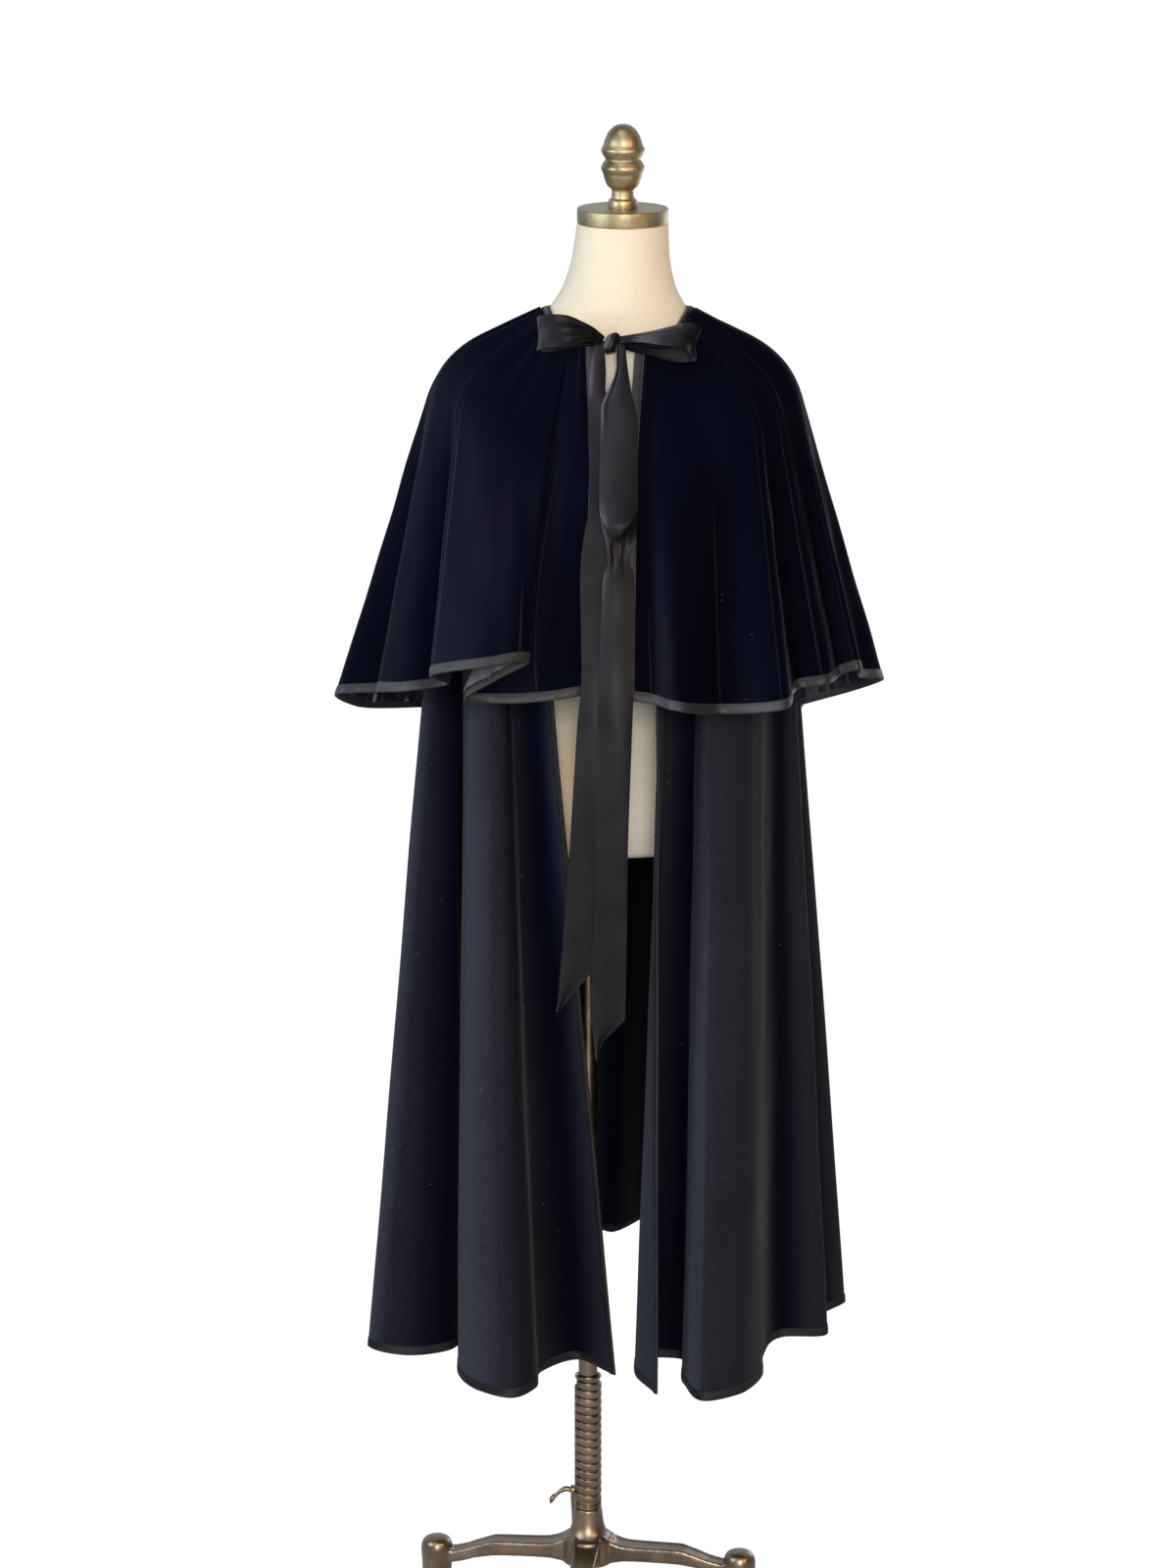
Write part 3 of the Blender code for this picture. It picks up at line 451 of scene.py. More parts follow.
# Tail: height, left edge, right edge, y, depth of its bow towards the front
TAIL_RIGHT = (
    (1.4180, 0.0290, 0.0372, -0.0938, 0.0005),
    (1.4100, 0.0296, 0.0396, -0.0958, 0.0008),
    (1.4000, 0.0297, 0.0406, -0.1010, 0.0010),
    (1.3842, 0.0289, 0.0424, -0.1130, 0.0020),
    (1.3678, 0.0227, 0.0447, -0.1265, 0.0030),
    (1.3574, 0.0175, 0.0462, -0.1340, 0.0035),
    (1.3469, 0.0137, 0.0490, -0.1412, 0.0035),
    (1.3314, 0.0133, 0.0512, -0.1512, 0.0035),
    (1.2805, 0.0119, 0.0517, -0.1728, 0.0045),
    (1.2552, 0.0111, 0.0516, -0.1812, 0.0055),
    (1.2401, 0.0116, 0.0516, -0.1848, 0.0075),
    (1.2250, 0.0137, 0.0511, -0.1880, 0.0085),
    (1.2110, 0.0165, 0.0485, -0.1912, 0.0040),
    (1.1985, 0.0182, 0.0452, -0.1925, 0.0005),
    (1.1879, 0.0192, 0.0434, -0.1940, 0.0),
    (1.1749, 0.0167, 0.0464, -0.1968, 0.0030),
    (1.1599, 0.0146, 0.0479, -0.1999, 0.0035),
    (1.1198, 0.0131, 0.0484, -0.2068, 0.0020),
    (1.0510, 0.0101, 0.0468, -0.2187, 0.0015),
    (0.9002, 0.0076, 0.0415, -0.2214, 0.0010),
    (0.8234, 0.0061, 0.0406, -0.2201, 0.0015),
    (0.7283, 0.0031, 0.0390, -0.2181, 0.0010),
    (0.7118, 0.0036, 0.0387, -0.2180, 0.0005),
)
TAIL_LEFT = (
    (1.4175, 0.0090, 0.0176, -0.0915, 0.0005),
    (1.4115, 0.0072, 0.0176, -0.0935, 0.0005),
    (1.4044, 0.0052, 0.0178, -0.0965, 0.0010),
    (1.3842, 0.0021, 0.0188, -0.1100, 0.0020),
    (1.3626, 0.0010, 0.0186, -0.1268, 0.0020),
    (1.3470, 0.0004, 0.0230, -0.1372, 0.0015),
    (1.3315, 0.0000, 0.0286, -0.1477, 0.0010),
    (1.2805, 0.0010, 0.0345, -0.1693, 0.0010),
    (1.2401, 0.0010, 0.0365, -0.1800, 0.0),
    (1.2200, -0.0030, 0.0344, -0.1835, 0.0),
    (1.1899, -0.0071, 0.0303, -0.1890, 0.0),
    (1.1597, -0.0081, 0.0283, -0.1950, 0.0),
    (1.1097, -0.0071, 0.0293, -0.2042, 0.0005),
    (1.0597, -0.0071, 0.0292, -0.2137, 0.0010),
    (1.0195, -0.0111, 0.0252, -0.2163, 0.0010),
    (0.9375, -0.0162, 0.0202, -0.2184, 0.0010),
    (0.8568, -0.0213, 0.0152, -0.2172, 0.0010),
    (0.7650, -0.0285, 0.0081, -0.2153, 0.0005),
)
TAIL_RINGS = 260
TAIL_SPREAD = 0.037
# Number of rings on each side over which a tail's depth is evened out, and how far it is then moved forward
TAIL_EASE = 9
TAIL_FORWARD = 0.0006
# Slanted end of each tail: height, left edge, right edge
TAIL_END = {
    "right": (
        (0.7004, 0.0049, 0.0275), (0.6901, 0.0061, 0.0163), (0.6797, 0.0075, 0.0122),
        (0.6683, 0.0087, 0.0097),
    ),
    "left": ((0.7536, -0.0293, -0.0031), (0.7370, -0.0308, -0.0173), (0.7194, -0.0327, -0.0316)),
}
# Where the right tail is pinched: height, reach, depth and number of the small folds that meet there, then
# the cup of slack ribbon that hangs over them and the strand at the side above it
PINCH = {
    "height": 1.1950, "reach_up": 0.024, "reach_down": 0.016, "depth": 0.0014, "folds": 3.3,
    "cup_side": 1.2300, "cup_sag": 0.0230, "cup_depth": 0.0042, "strand": 0.0020,
}

# Painted shine and shade of satin as it turns towards or away from the light side: how far it faces that
# side, then the part of its colour
SATIN_RISE = 0.60
RIBBON_SHINE = ((0.20, 0.10), (0.50, 0.26), (0.655, 0.66), (0.78, 0.85), (0.88, 1.5), (0.96, 5.0))
BINDING_SHINE = ((0.25, 0.40), (0.58, 0.66), (0.68, 0.90), (0.82, 1.00), (0.95, 1.35))
MATT_SHINE = ((0.25, 0.60), (0.68, 1.00), (0.84, 0.95), (0.95, 0.50))
# Satins: dark and light thread, roughness, gloss, painted shine and shade
SATINS = {
    "ribbon_satin": ((0.0118, 0.0110, 0.0142), (0.0208, 0.0196, 0.0240), 0.34, 0.06, RIBBON_SHINE),
    "caplet_binding_satin": ((0.023, 0.024, 0.029), (0.050, 0.051, 0.058), 0.40, 0.14, BINDING_SHINE),
    "cape_binding_satin": ((0.015, 0.015, 0.019), (0.028, 0.028, 0.034), 0.60, 0.06, MATT_SHINE),
    # The lining's colour is lighter than its black satin, as a painted highlight where the curled front shows
    # it
    "lining_satin": ((0.055, 0.056, 0.064), (0.170, 0.172, 0.190), 0.26, 0.26, BINDING_SHINE),
}
# Metals: dark and light tone, least and most roughness, scale and depth of the grain of the skin
METALS = {
    "aged_brass": ((0.27, 0.215, 0.115), (0.50, 0.42, 0.26), 0.36, 0.50, 420.0, 0.0004),
    "antique_bronze": ((0.155, 0.116, 0.083), (0.31, 0.235, 0.170), 0.28, 0.42, 520.0, 0.0003),
}
# Side from which the painted light falls: a cloth's colour is lighter where it faces this side and darker
# facing away
LIGHT_SIDE = (-0.90, -0.35)
# Colour of the painted sheen lines on the velvet's fold edges
SHEEN_LINE_COLOUR = (0.026, 0.026, 0.038, 1.0)
# Painted shade: part of each cloth's colour that is left in a valley between folds
VELVET_VALLEY_SHADE = 0.45
WOOL_VALLEY_SHADE = (0.06, 0.08, 0.30)
SATIN_VALLEY_SHADE = (0.20, 0.19, 0.34)

# Studio: lights with their place, aim, size, power and colour, and the glow of its front and back
LIGHTS = (
    ("window_left", (-2.0, -1.4, 1.6), (0.0, 0.0, 1.0), 1.5, 38.0, (0.84, 0.93, 1.0)),
    ("lamp_right", (2.1, -2.7, 2.0), (0.0, 0.0, 1.1), 1.4, 38.0, (1.0, 0.60, 0.25)),
    ("front_window", (0.2, -4.4, 1.6), (0.0, 0.0, 0.9), 1.8, 128.0, (0.98, 0.96, 0.92)),
    ("ceiling_soft", (-0.5, -1.9, 3.9), (0.0, 0.0, 1.2), 2.2, 24.0, (0.96, 0.98, 1.0)),
    ("back_fill", (2.0, 2.6, 1.2), (0.0, 0.0, 1.0), 2.0, 18.0, (1.0, 0.98, 0.95)),
)
STUDIO_FRONT = 0.12
STUDIO_BACK = 0.75
STUDIO_COLOUR = (0.80, 0.88, 1.0, 1.0)
FLOOR_HALF = 40.0
FLOOR_COLOUR = (0.62, 0.62, 0.62, 1.0)


def smooth_step(x):
    x = np.clip(x, 0.0, 1.0)
    return x * x * (3 - 2 * x)


def through(keys, values, at):
    """A smooth curve through a table's rows, read at the given keys."""
    slopes = np.gradient(values, keys, axis=0)
    low = np.clip(np.searchsorted(keys, at, side="right") - 1, 0, len(keys) - 2)
    step = (keys[low + 1] - keys[low])[..., None]
    f = (at - keys[low])[..., None] / step
    return (
        values[low] * (1 + 2 * f) * (1 - f) ** 2
        + values[low + 1] * f**2 * (3 - 2 * f)
        + slopes[low] * step * f * (1 - f) ** 2
        - slopes[low + 1] * step * f**2 * (1 - f)
    )


def refined(rows, steps):
    """A table's rows joined by a smooth curve, with evenly more of them."""
    table = np.array(rows, float)
    return through(np.arange(len(table), dtype=float), table, np.linspace(0, len(table) - 1, steps))


def round_turn(count):
    """Evenly spaced angles of a whole turn."""
    return np.arange(count) * math.tau / count


def oval(angle, middle, half_width, front, back):
    """x and y on an oval whose front and back differ in depth; the angle is in degrees."""
    turn = np.radians(angle)
    depth = np.where(np.cos(turn) > 0, front, back)
    return middle[0] - half_width * np.sin(turn), middle[1] - depth * np.cos(turn)


def between(angle, front, side, back):
    """A height that passes from a front to a side to a back value round the figure."""
    ahead = np.cos(np.radians(angle))
    return side + (front - side) * np.maximum(ahead, 0) ** 2 + (back - side) * np.maximum(-ahead, 0) ** 2


def form_point(angle, height, out=0.0, rounded=False):
    """A point of the dress form's skin, moved out; rounded joins the form's sections by smooth curves."""
    if rounded:
        size = np.moveaxis(through(FORM_SECTIONS[:, 0], FORM_SECTIONS[:, 1:], height), -1, 0) + out
    else:
        size = [np.interp(height, FORM_SECTIONS[:, 0], column) + out for column in FORM_SECTIONS[:, 1:].T]
    middle = FORM_LEAN * (height - FORM_BOTTOM), 0.0
    x, y = oval(angle, middle, *size)
    tilt = math.tan(CAP_TILT) * np.clip((height - TILT_FROM) / (NECK_TOP - TILT_FROM), 0, 1)
    return np.stack(np.broadcast_arrays(x, y, height + tilt * y), axis=-1)


def neck_point(angle, out, rise):
    """A point beside the neck, a given distance out from the form and above the neck line."""
    return form_point(angle, between(angle, **NECK_LINE) + rise, out)


class Tier:
    """One tier of the cape: lines that leave the neck, turn over the shoulders and hang to the hem.

    u runs from the left front edge round the back to the right front edge, and t from neck to hem.
    """

    EDGE_CLEAR = 0.003

    def __init__(self, rows, neck, shoulder, hem, turn, rounding, growth, creases, gathers, ripple, seed,
                 slope, shaded=((0, 0),), brushed_and_lit=(), folded=()):
        self.rows = np.array(rows, float)
        steps = np.linalg.norm(np.diff(self.rows[:, 2:5], axis=0), axis=1)
        self.keys = np.concatenate(([0.0], np.cumsum(steps))) / steps.sum()
        self.neck, self.shoulder, self.hem = neck, shoulder, hem
        self.turn, self.rounding, self.growth = turn, rounding, growth
        self.creases, self.gathers, self.folded = creases, gathers, folded
        self.slope, self.shaded, self.brushed_and_lit = slope, shaded, brushed_and_lit
        chance = np.random.default_rng(seed)
        self.gather_depth = chance.uniform(0.25, 1.0, gathers["count"])
        self.gather_reach = chance.uniform(*gathers["reach"], gathers["count"])
        # Ripples: waves round the hem, waves down the length, phase, height
        waves = 12
        self.ripples = np.stack((
            chance.uniform(18, 46, waves) * chance.choice((-1, 1), waves), chance.uniform(1.0, 6.0, waves),
            chance.uniform(0, math.tau, waves), chance.uniform(0.3, 1.0, waves) * ripple,
        ), axis=1)

    def ring(self, angle, sizes):
        x, y = oval(angle, sizes["middle"], sizes["half_width"], sizes["front"], sizes["back"])
        return np.stack((x, y, between(angle, *sizes["heights"])), axis=-1)

    def point(self, u, t):
        row = through(self.keys, self.rows, u)
        lead, crest, hem = row[..., 0], row[..., 1], row[..., 2:5]
        first, last = self.rows[0, 0], self.rows[-1, 0]
        share = (lead - first) / (last - first)
        neck_lead = NECK_OPENING[0] + share * (NECK_OPENING[1] - NECK_OPENING[0])
        neck = neck_point(neck_lead, self.neck["out"], self.neck["rise"])
        shoulder = self.ring(lead, self.shoulder)
        smooth_hem = self.ring(lead, self.hem)
        # The ramp is 0 above the shoulder's turn and grows evenly below it, with a round start
        past = t - self.turn
        bend = np.clip(past + self.rounding, 0, 2 * self.rounding) ** 2 / (4 * self.rounding)
        past = np.where(past > self.rounding, past, bend)
        down = past / (1 - self.turn)
        along = (t - past) / self.turn
        gather = GATHER * crest * np.sin(np.pi * np.clip(t / (2 * self.turn), 0, 1))
        place = neck + (shoulder - neck) * along[..., None] + (smooth_hem - shoulder) * down[..., None]
        place = place + (hem - smooth_hem) * (np.maximum(down, 0) ** self.growth)[..., None]
        place[..., 2] += gather
        return place

    def frame(self, u, t, step=2e-4):
        """Points, outward normals and the lengths of a unit step in u and in t."""
        along = (self.point(u + step, t) - self.point(u - step, t)) / (2 * step)
        down = (self.point(u, t + step) - self.point(u, t - step)) / (2 * step)
        normal = np.cross(along, down)
        normal /= np.linalg.norm(normal, axis=-1, keepdims=True)
        return self.point(u, t), normal, np.linalg.norm(along, axis=-1), np.linalg.norm(down, axis=-1)

    def relief(self, u, t, girth):
        """How far the cloth stands out from its plain shape: creases, gathers at the neck and ripples."""
        ease = 0.4
        rise = np.zeros_like(u)
        for upper, lower, start, end, half, height in self.creases:
            run = (t - start) / (end - start)
            aside = (u - upper - (lower - upper) * run) * girth / half
            fade = smooth_step(run / ease) * smooth_step((1 - run) / ease)
            rise += height * np.exp(-aside * aside) * fade
        count = self.gathers["count"]
        turns = count * u + 0.35 * np.sin(9.0 * u * math.tau) + 0.2 * np.sin(23.0 * u * math.tau + 1.0)
        places = np.linspace(0, 1, count)
        depth = self.gathers["depth"] * np.interp(u, places, self.gather_depth)
        reach = np.interp(u, places, self.gather_reach)
        pleat = (0.5 + 0.5 * np.cos(math.tau * turns)) ** 1.5
        rise += depth * pleat * np.exp(-((t / reach) ** 2))
        below_neck = smooth_step(t / 0.3)
        for round_hem, lengthwise, phase, height in self.ripples:
            rise += height * np.sin(math.tau * (round_hem * u + lengthwise * t) + phase) * below_neck
        return rise * (1 - self.folded_over(u))

    def folded_over(self, u):
        """1 where a front lies folded on itself, so that its layers lie flat, and 0 elsewhere."""
        if not self.folded:
            return np.zeros_like(u)
        first, last, ease = self.folded
        return smooth_step((u - first) / ease) * smooth_step((last - u) / ease)

    def skin(self, u, t, out):
        """Points of the dressed cloth, moved out."""
        points, normals, girth, _ = self.frame(u, t)
        return points + normals * (out + self.relief(u, t, girth))[..., None]

    def inset(self, u, t, width):
        """u moved along the cloth by a width, at each t."""
        middle = np.clip(u, self.EDGE_CLEAR, 1 - self.EDGE_CLEAR)
        return u + width / self.frame(middle, t)[2]

    def hem_level(self, u, width):
        """t at a distance up from the hem, for each u."""
        middle = np.clip(u, self.EDGE_CLEAR, 1 - self.EDGE_CLEAR)
        return 1.0 - width / self.frame(middle, np.full_like(u, 0.99))[3]

    def hollow(self, u, t):
        """How deep each point lies in a valley between folds, and so in painted shade, from 0 to 1."""
        crest = through(self.keys, self.rows, u)[..., 1]
        depth = smooth_step((self.slope - crest) / (1 + self.slope))
        depth = depth + np.interp(u, *np.transpose(self.shaded))
        return np.clip(depth, 0, 1) * smooth_step((t - self.turn) / 0.25)

    def brush(self, u, t):
        """How far each fold's painted light and shade is moved towards its light side."""
        return np.interp(u, *np.transpose(self.brushed_and_lit)) * smooth_step((t - self.turn) / 0.3)

    def flat(self, u, t):
        """Each point's place on the cloth, in metres: round the hem, down from the neck."""
        return np.stack((u * self.hem_length, t * self.drop), axis=-1)

    def sheen_line_places(self, sheen_marks):
        """Painted sheen lines given by their lead, with their place round the hem instead."""
        places = [float(np.interp(row[0], self.rows[:, 0], self.keys)) * self.hem_length for row in sheen_marks]
        return [(place, *row[1:]) for place, row in zip(places, sheen_marks)]

    @property
    def hem_length(self):
        return float(np.linalg.norm(np.diff(self.rows[:, 2:5], axis=0), axis=1).sum())

    @property
    def drop(self):
        return self.neck["drop"]


def back_rows(folds, middle):
    """Hem rows for the folds round the back, valley and ridge in turn."""
    count = len(folds["reach"])
    rows = []
    for i, reach in enumerate(folds["reach"]):
        part = i / (count - 1)
        lead = folds["lead"][0] + part * (folds["lead"][1] - folds["lead"][0])
        angle = folds["angle"][0] + part * (folds["angle"][1] - folds["angle"][0])
        x, y = oval(angle, middle, reach, reach, reach)
        side, centre = folds["height"]
        height = side + (centre - side) * math.sin(math.pi * part)
        rows.append((lead, 1 if i % 2 else -1, float(x), float(y), height))
    return tuple(rows)


def make_tiers():
    caplet = Tier(
        CAPLET_LEFT + back_rows(CAPLET_BACK, (0.03, 0.0)) + CAPLET_RIGHT,
        neck={"out": 0.0068, "rise": 0.0005, "drop": CAPLET_DROP}, folded=(0.030, 0.118, 0.014),
        shoulder={"middle": (0.0290, 0.0), "half_width": 0.192, "front": 0.165, "back": 0.141,
                  "heights": (1.288, 1.4050, 1.372)},
        hem={"middle": (0.030, 0.0), "half_width": 0.272, "front": 0.218, "back": 0.238,
             "heights": (1.0495, 1.0445, 0.9995)},
        turn=0.22, rounding=0.10, growth=1.0, creases=CAPLET_CREASES,
        gathers={"count": 38, "depth": 0.0036, "reach": (0.08, 0.28)}, ripple=0.00016, seed=11, slope=0.0,
        brushed_and_lit=CAPLET_FOLD_LIGHT,
    )
    cape = Tier(
        CAPE_LEFT + back_rows(CAPE_BACK, (0.028, 0.0)) + CAPE_RIGHT,
        neck={"out": 0.0020, "rise": -0.0024, "drop": 1.13},
        shoulder={"middle": (0.0310, 0.0), "half_width": 0.178, "front": 0.150, "back": 0.127,
                  "heights": (1.278, 1.3985, 1.362)},
        hem={"middle": (0.028, 0.0), "half_width": 0.240, "front": 0.180, "back": 0.200,
             "heights": (0.318, 0.322, 0.350)},
        turn=0.10, rounding=0.045, growth=1.05, creases=CAPE_CREASES,
        gathers={"count": 70, "depth": 0.0012, "reach": (0.03, 0.08)}, ripple=0.00020, seed=12, slope=0.72,
        shaded=CAPE_SHADED,
    )
    return cape, caplet


# Meshes

def mesh_from(name, points, faces, flat=None):
    """A mesh from points and faces, with each point's place on the cloth as its UV."""
    mesh = bpy.data.meshes.new(name)
    mesh.from_pydata(np.asarray(points).tolist(), [], [tuple(map(int, face)) for face in faces])
    if flat is not None:
        layer = mesh.uv_layers.new(name="UVMap")
        corners = np.zeros(len(mesh.loops), int)
        mesh.loops.foreach_get("vertex_index", corners)
        layer.data.foreach_set("uv", np.asarray(flat, float)[corners].ravel())
    return mesh


def facing_out(mesh):
    """The same closed mesh with its faces turned outwards."""
    work = bmesh.new()
    work.from_mesh(mesh)
    bmesh.ops.recalc_face_normals(work, faces=work.faces)
    work.to_mesh(mesh)
    work.free()
    return mesh


def shell(name, outer, inner, flat):
    """A closed sheet between an outer and an inner grid of points."""
    levels, columns = outer.shape[:2]
    size = levels * columns
    grid = np.arange(size).reshape(levels, columns)
    front = np.stack((grid[:-1, :-1], grid[:-1, 1:], grid[1:, 1:], grid[1:, :-1]), axis=-1).reshape(-1, 4)
    rim = np.concatenate((grid[0, :-1], grid[:-1, -1], grid[-1, :0:-1], grid[:0:-1, 0]))
    ahead = np.roll(rim, -1)
    walls = np.stack((ahead, rim, rim + size, ahead + size), axis=-1)
    faces = np.concatenate((front, front[:, ::-1] + size, walls))
    points = np.concatenate((outer.reshape(-1, 3), inner.reshape(-1, 3)))
    places = np.concatenate((flat.reshape(-1, 2), flat.reshape(-1, 2)))
    return mesh_from(name, points, faces, places)


def mark(mesh, name, amount):
    """Gives each point of a sheet a named amount that its material reads, such as its painted shade, the same
    on both of its faces.
    """
    mesh.attributes.new(name, "FLOAT", "POINT").data.foreach_set("value", np.tile(amount.ravel(), 2))


def tube(name, rings, looped=False):
    """A skin over rings of points, closed round each ring; it has a cap on each end unless it is looped."""
    rings = np.asarray(rings)
    count, sides = rings.shape[:2]
    grid = np.arange(count * sides).reshape(count, sides)
    if looped:
        grid = np.concatenate((grid, grid[:1]))
    round_grid = np.concatenate((grid, grid[:, :1]), axis=1)
    quads = np.stack(
        (round_grid[:-1, :-1], round_grid[:-1, 1:], round_grid[1:, 1:], round_grid[1:, :-1]), axis=-1
    ).reshape(-1, 4)
    faces = [tuple(q) for q in quads]
    if not looped:
        faces += [tuple(grid[0]), tuple(grid[-1])]
    along = np.concatenate(([0.0], np.cumsum(np.linalg.norm(np.diff(rings.mean(axis=1), axis=0), axis=1))))
    steps = np.linalg.norm(np.diff(rings, axis=1, append=rings[:, :1]), axis=2).mean(axis=0)
    across = np.concatenate(([0.0], np.cumsum(steps)[:-1]))
    flat = np.stack(np.broadcast_arrays(across[None, :], along[:, None]), axis=-1).reshape(-1, 2)
    return facing_out(mesh_from(name, rings.reshape(-1, 3), faces, flat))


def turned(name, profile, steps):
    """A profile of radius and height spun round the axis, with a cap on each end."""
    turn = round_turn(steps)
    rings = [np.stack((r * np.cos(turn), r * np.sin(turn), np.full(steps, z)), axis=-1) for r, z in profile]
    return tube(name, rings)


def piece(name, mesh, material, body, nodes, sharp=40.0):
    """A finished piece on the pole's axis that rides on a body and stands for its solids."""
    mesh.transform(Matrix.Translation(POLE))
    if material is not None:
        mesh.materials.clear()
        mesh.materials.append(material)
    mesh.shade_smooth()
    mesh.set_sharp_from_angle(angle=math.radians(sharp))
    made = bpy.data.objects.new(name, mesh)
    bpy.context.scene.collection.objects.link(made)
    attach(made, body)
    if nodes:
        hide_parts(*nodes)
    return made


# Node trees

def add(tree, kind, inputs=None, **settings):
    """A node with its settings, and its inputs set to a value or linked to another node's output."""
    made = tree.nodes.new(kind)
    for name, value in settings.items():
        setattr(made, name, value)
    for name, value in (inputs or {}).items():
        if isinstance(value, bpy.types.NodeSocket):
            tree.links.new(value, made.inputs[name])
        else:
            made.inputs[name].default_value = value
    return made


def new_tree(name, sizes):
    """A geometry tree with a geometry input and output and named sizes."""
    tree = bpy.data.node_groups.new(name, "GeometryNodeTree")
    tree.interface.new_socket("Geometry", in_out="INPUT", socket_type="NodeSocketGeometry")
    for label in sizes:
        tree.interface.new_socket(label, in_out="INPUT", socket_type="NodeSocketFloat")
    tree.interface.new_socket("Geometry", in_out="OUTPUT", socket_type="NodeSocketGeometry")
    return tree, tree.nodes.new("NodeGroupInput").outputs


def end_tree(tree, shapes, material):
    """The tree's last nodes: plain geometry with a material."""
    real = add(tree, "GeometryNodeRealizeInstances", {"Geometry": shapes})
    dressed = add(tree, "GeometryNodeSetMaterial", {"Geometry": real.outputs[0], "Material": material})
    add(tree, "NodeGroupOutput", {"Geometry": dressed.outputs[0]})


def grown(name, tree, sizes, seed_mesh):
    """The plain mesh that a geometry tree makes from a starting mesh."""
    start = bpy.data.objects.new(name, seed_mesh)
    bpy.context.scene.collection.objects.link(start)
    modifier = start.modifiers.new(name, "NODES")
    modifier.node_group = tree
    for item in tree.interface.items_tree:
        if item.name in sizes:
            modifier[item.identifier] = sizes[item.name]
    depsgraph = bpy.context.evaluated_depsgraph_get()
    mesh = bpy.data.meshes.new_from_object(start.evaluated_get(depsgraph))
    start.modifiers.remove(modifier)
    bpy.data.objects.remove(start)
    mesh.name = name
    return mesh


def running_stitch(material):
    """Short thread stitches laid along a path."""
    tree, given = new_tree("running_stitch", ("Pitch", "Half length", "Radius"))
    path = add(tree, "GeometryNodeMeshToCurve", {"Mesh": given["Geometry"]})
    places = add(tree, "GeometryNodeCurveToPoints", {"Curve": path.outputs[0], "Length": given["Pitch"]},
                 mode="LENGTH")
    thread = add(tree, "GeometryNodeMeshUVSphere", {"Segments": 5, "Rings": 4, "Radius": 1.0})
    size = add(tree, "ShaderNodeCombineXYZ", {
        "X": given["Radius"], "Y": given["Radius"], "Z": given["Half length"],
    })
    heading = add(tree, "FunctionNodeAlignRotationToVector", {"Vector": places.outputs["Tangent"]}, axis="Z")
    laid = add(tree, "GeometryNodeInstanceOnPoints", {
        "Points": places.outputs["Points"], "Instance": thread.outputs[0],
        "Rotation": heading.outputs[0], "Scale": size.outputs[0],
    })
    end_tree(tree, laid.outputs[0], material)
    return tree


def lint_specks(material):
    """Small specks of lint on given points, each turned and sized by chance."""
    tree, given = new_tree("lint_specks", ("Size",))
    speck = add(tree, "GeometryNodeMeshIcoSphere", {"Radius": 1.0, "Subdivisions": 1})
    turn = add(tree, "FunctionNodeRandomValue", {"Max": (math.tau,) * 3, "Seed": 5}, data_type="FLOAT_VECTOR")
    grow = add(tree, "FunctionNodeRandomValue", {"Min": (0.5, 0.4, 0.6), "Max": (1.0, 0.8, 2.4), "Seed": 6},
               data_type="FLOAT_VECTOR")
    scale = add(tree, "ShaderNodeVectorMath", {0: grow.outputs[0], "Scale": given["Size"]}, operation="SCALE")
    laid = add(tree, "GeometryNodeInstanceOnPoints", {
        "Points": given["Geometry"], "Instance": speck.outputs[0],
        "Rotation": turn.outputs[0], "Scale": scale.outputs[0],
    })
    end_tree(tree, laid.outputs[0], material)
    return tree


def wound_band(material):
    """A flat band wound in a coil."""
    tree, given = new_tree("wound_band", ("Turns", "Radius", "Rise", "Band height", "Band depth", "Corner"))
    line = add(tree, "GeometryNodeCurveSpiral", {
        "Resolution": 40, "Rotations": given["Turns"], "Start Radius": given["Radius"],
        "End Radius": given["Radius"], "Height": given["Rise"],
    })
    upright = add(tree, "GeometryNodeSetCurveNormal", {"Curve": line.outputs[0]}, mode="Z_UP")
    section = add(tree, "GeometryNodeCurvePrimitiveQuadrilateral",
                  {"Width": given["Band depth"], "Height": given["Band height"]})
    rounded = add(tree, "GeometryNodeFilletCurve",
                  {"Curve": section.outputs[0], "Radius": given["Corner"], "Count": 3}, mode="POLY")
    band = add(tree, "GeometryNodeCurveToMesh",
               {"Curve": upright.outputs[0], "Profile Curve": rounded.outputs[0], "Fill Caps": True})
    end_tree(tree, band.outputs[0], material)
    return tree


# Finishes

def finish(name, **fixed):
    """A material whose even values are set on the shader itself."""
    material = bpy.data.materials.new(name)
    material.use_nodes = True
    tree = material.node_tree
    shader = tree.nodes["Principled BSDF"]
    for label, value in fixed.items():
        shader.inputs[label.replace("_", " ")].default_value = value
    return material, tree, shader


def pattern(tree, scale, stretch=(1.0, 1.0, 1.0), detail=3.0, source="Object"):
    """A noise pattern on the piece's own place or on its cloth, stretched."""
    place = add(tree, "ShaderNodeTexCoord")
    laid = add(tree, "ShaderNodeMapping", {"Vector": place.outputs[source], "Scale": stretch})
    noise = add(tree, "ShaderNodeTexNoise", {"Vector": laid.outputs[0], "Scale": scale, "Detail": detail})
    return noise.outputs["Fac"]


def shade(tree, amount, *stops):
    """A pattern turned into colours or greys, one for each stop."""
    ramp = add(tree, "ShaderNodeValToRGB", {"Fac": amount})
    steps = ramp.color_ramp.elements
    while len(steps) < len(stops):
        steps.new(0.5)
    for step, (position, colour) in zip(steps, stops):
        step.position = position
        step.color = (*colour, 1.0) if hasattr(colour, "__len__") else (colour, colour, colour, 1.0)
    return ramp.outputs["Color"]


def mixed(tree, amount, first, second, blend="MIX"):
    """Two colours mixed by an amount."""
    return add(tree, "ShaderNodeMix", {"Factor": amount, "A": first, "B": second}, data_type="RGBA",
               blend_type=blend).outputs["Result"]


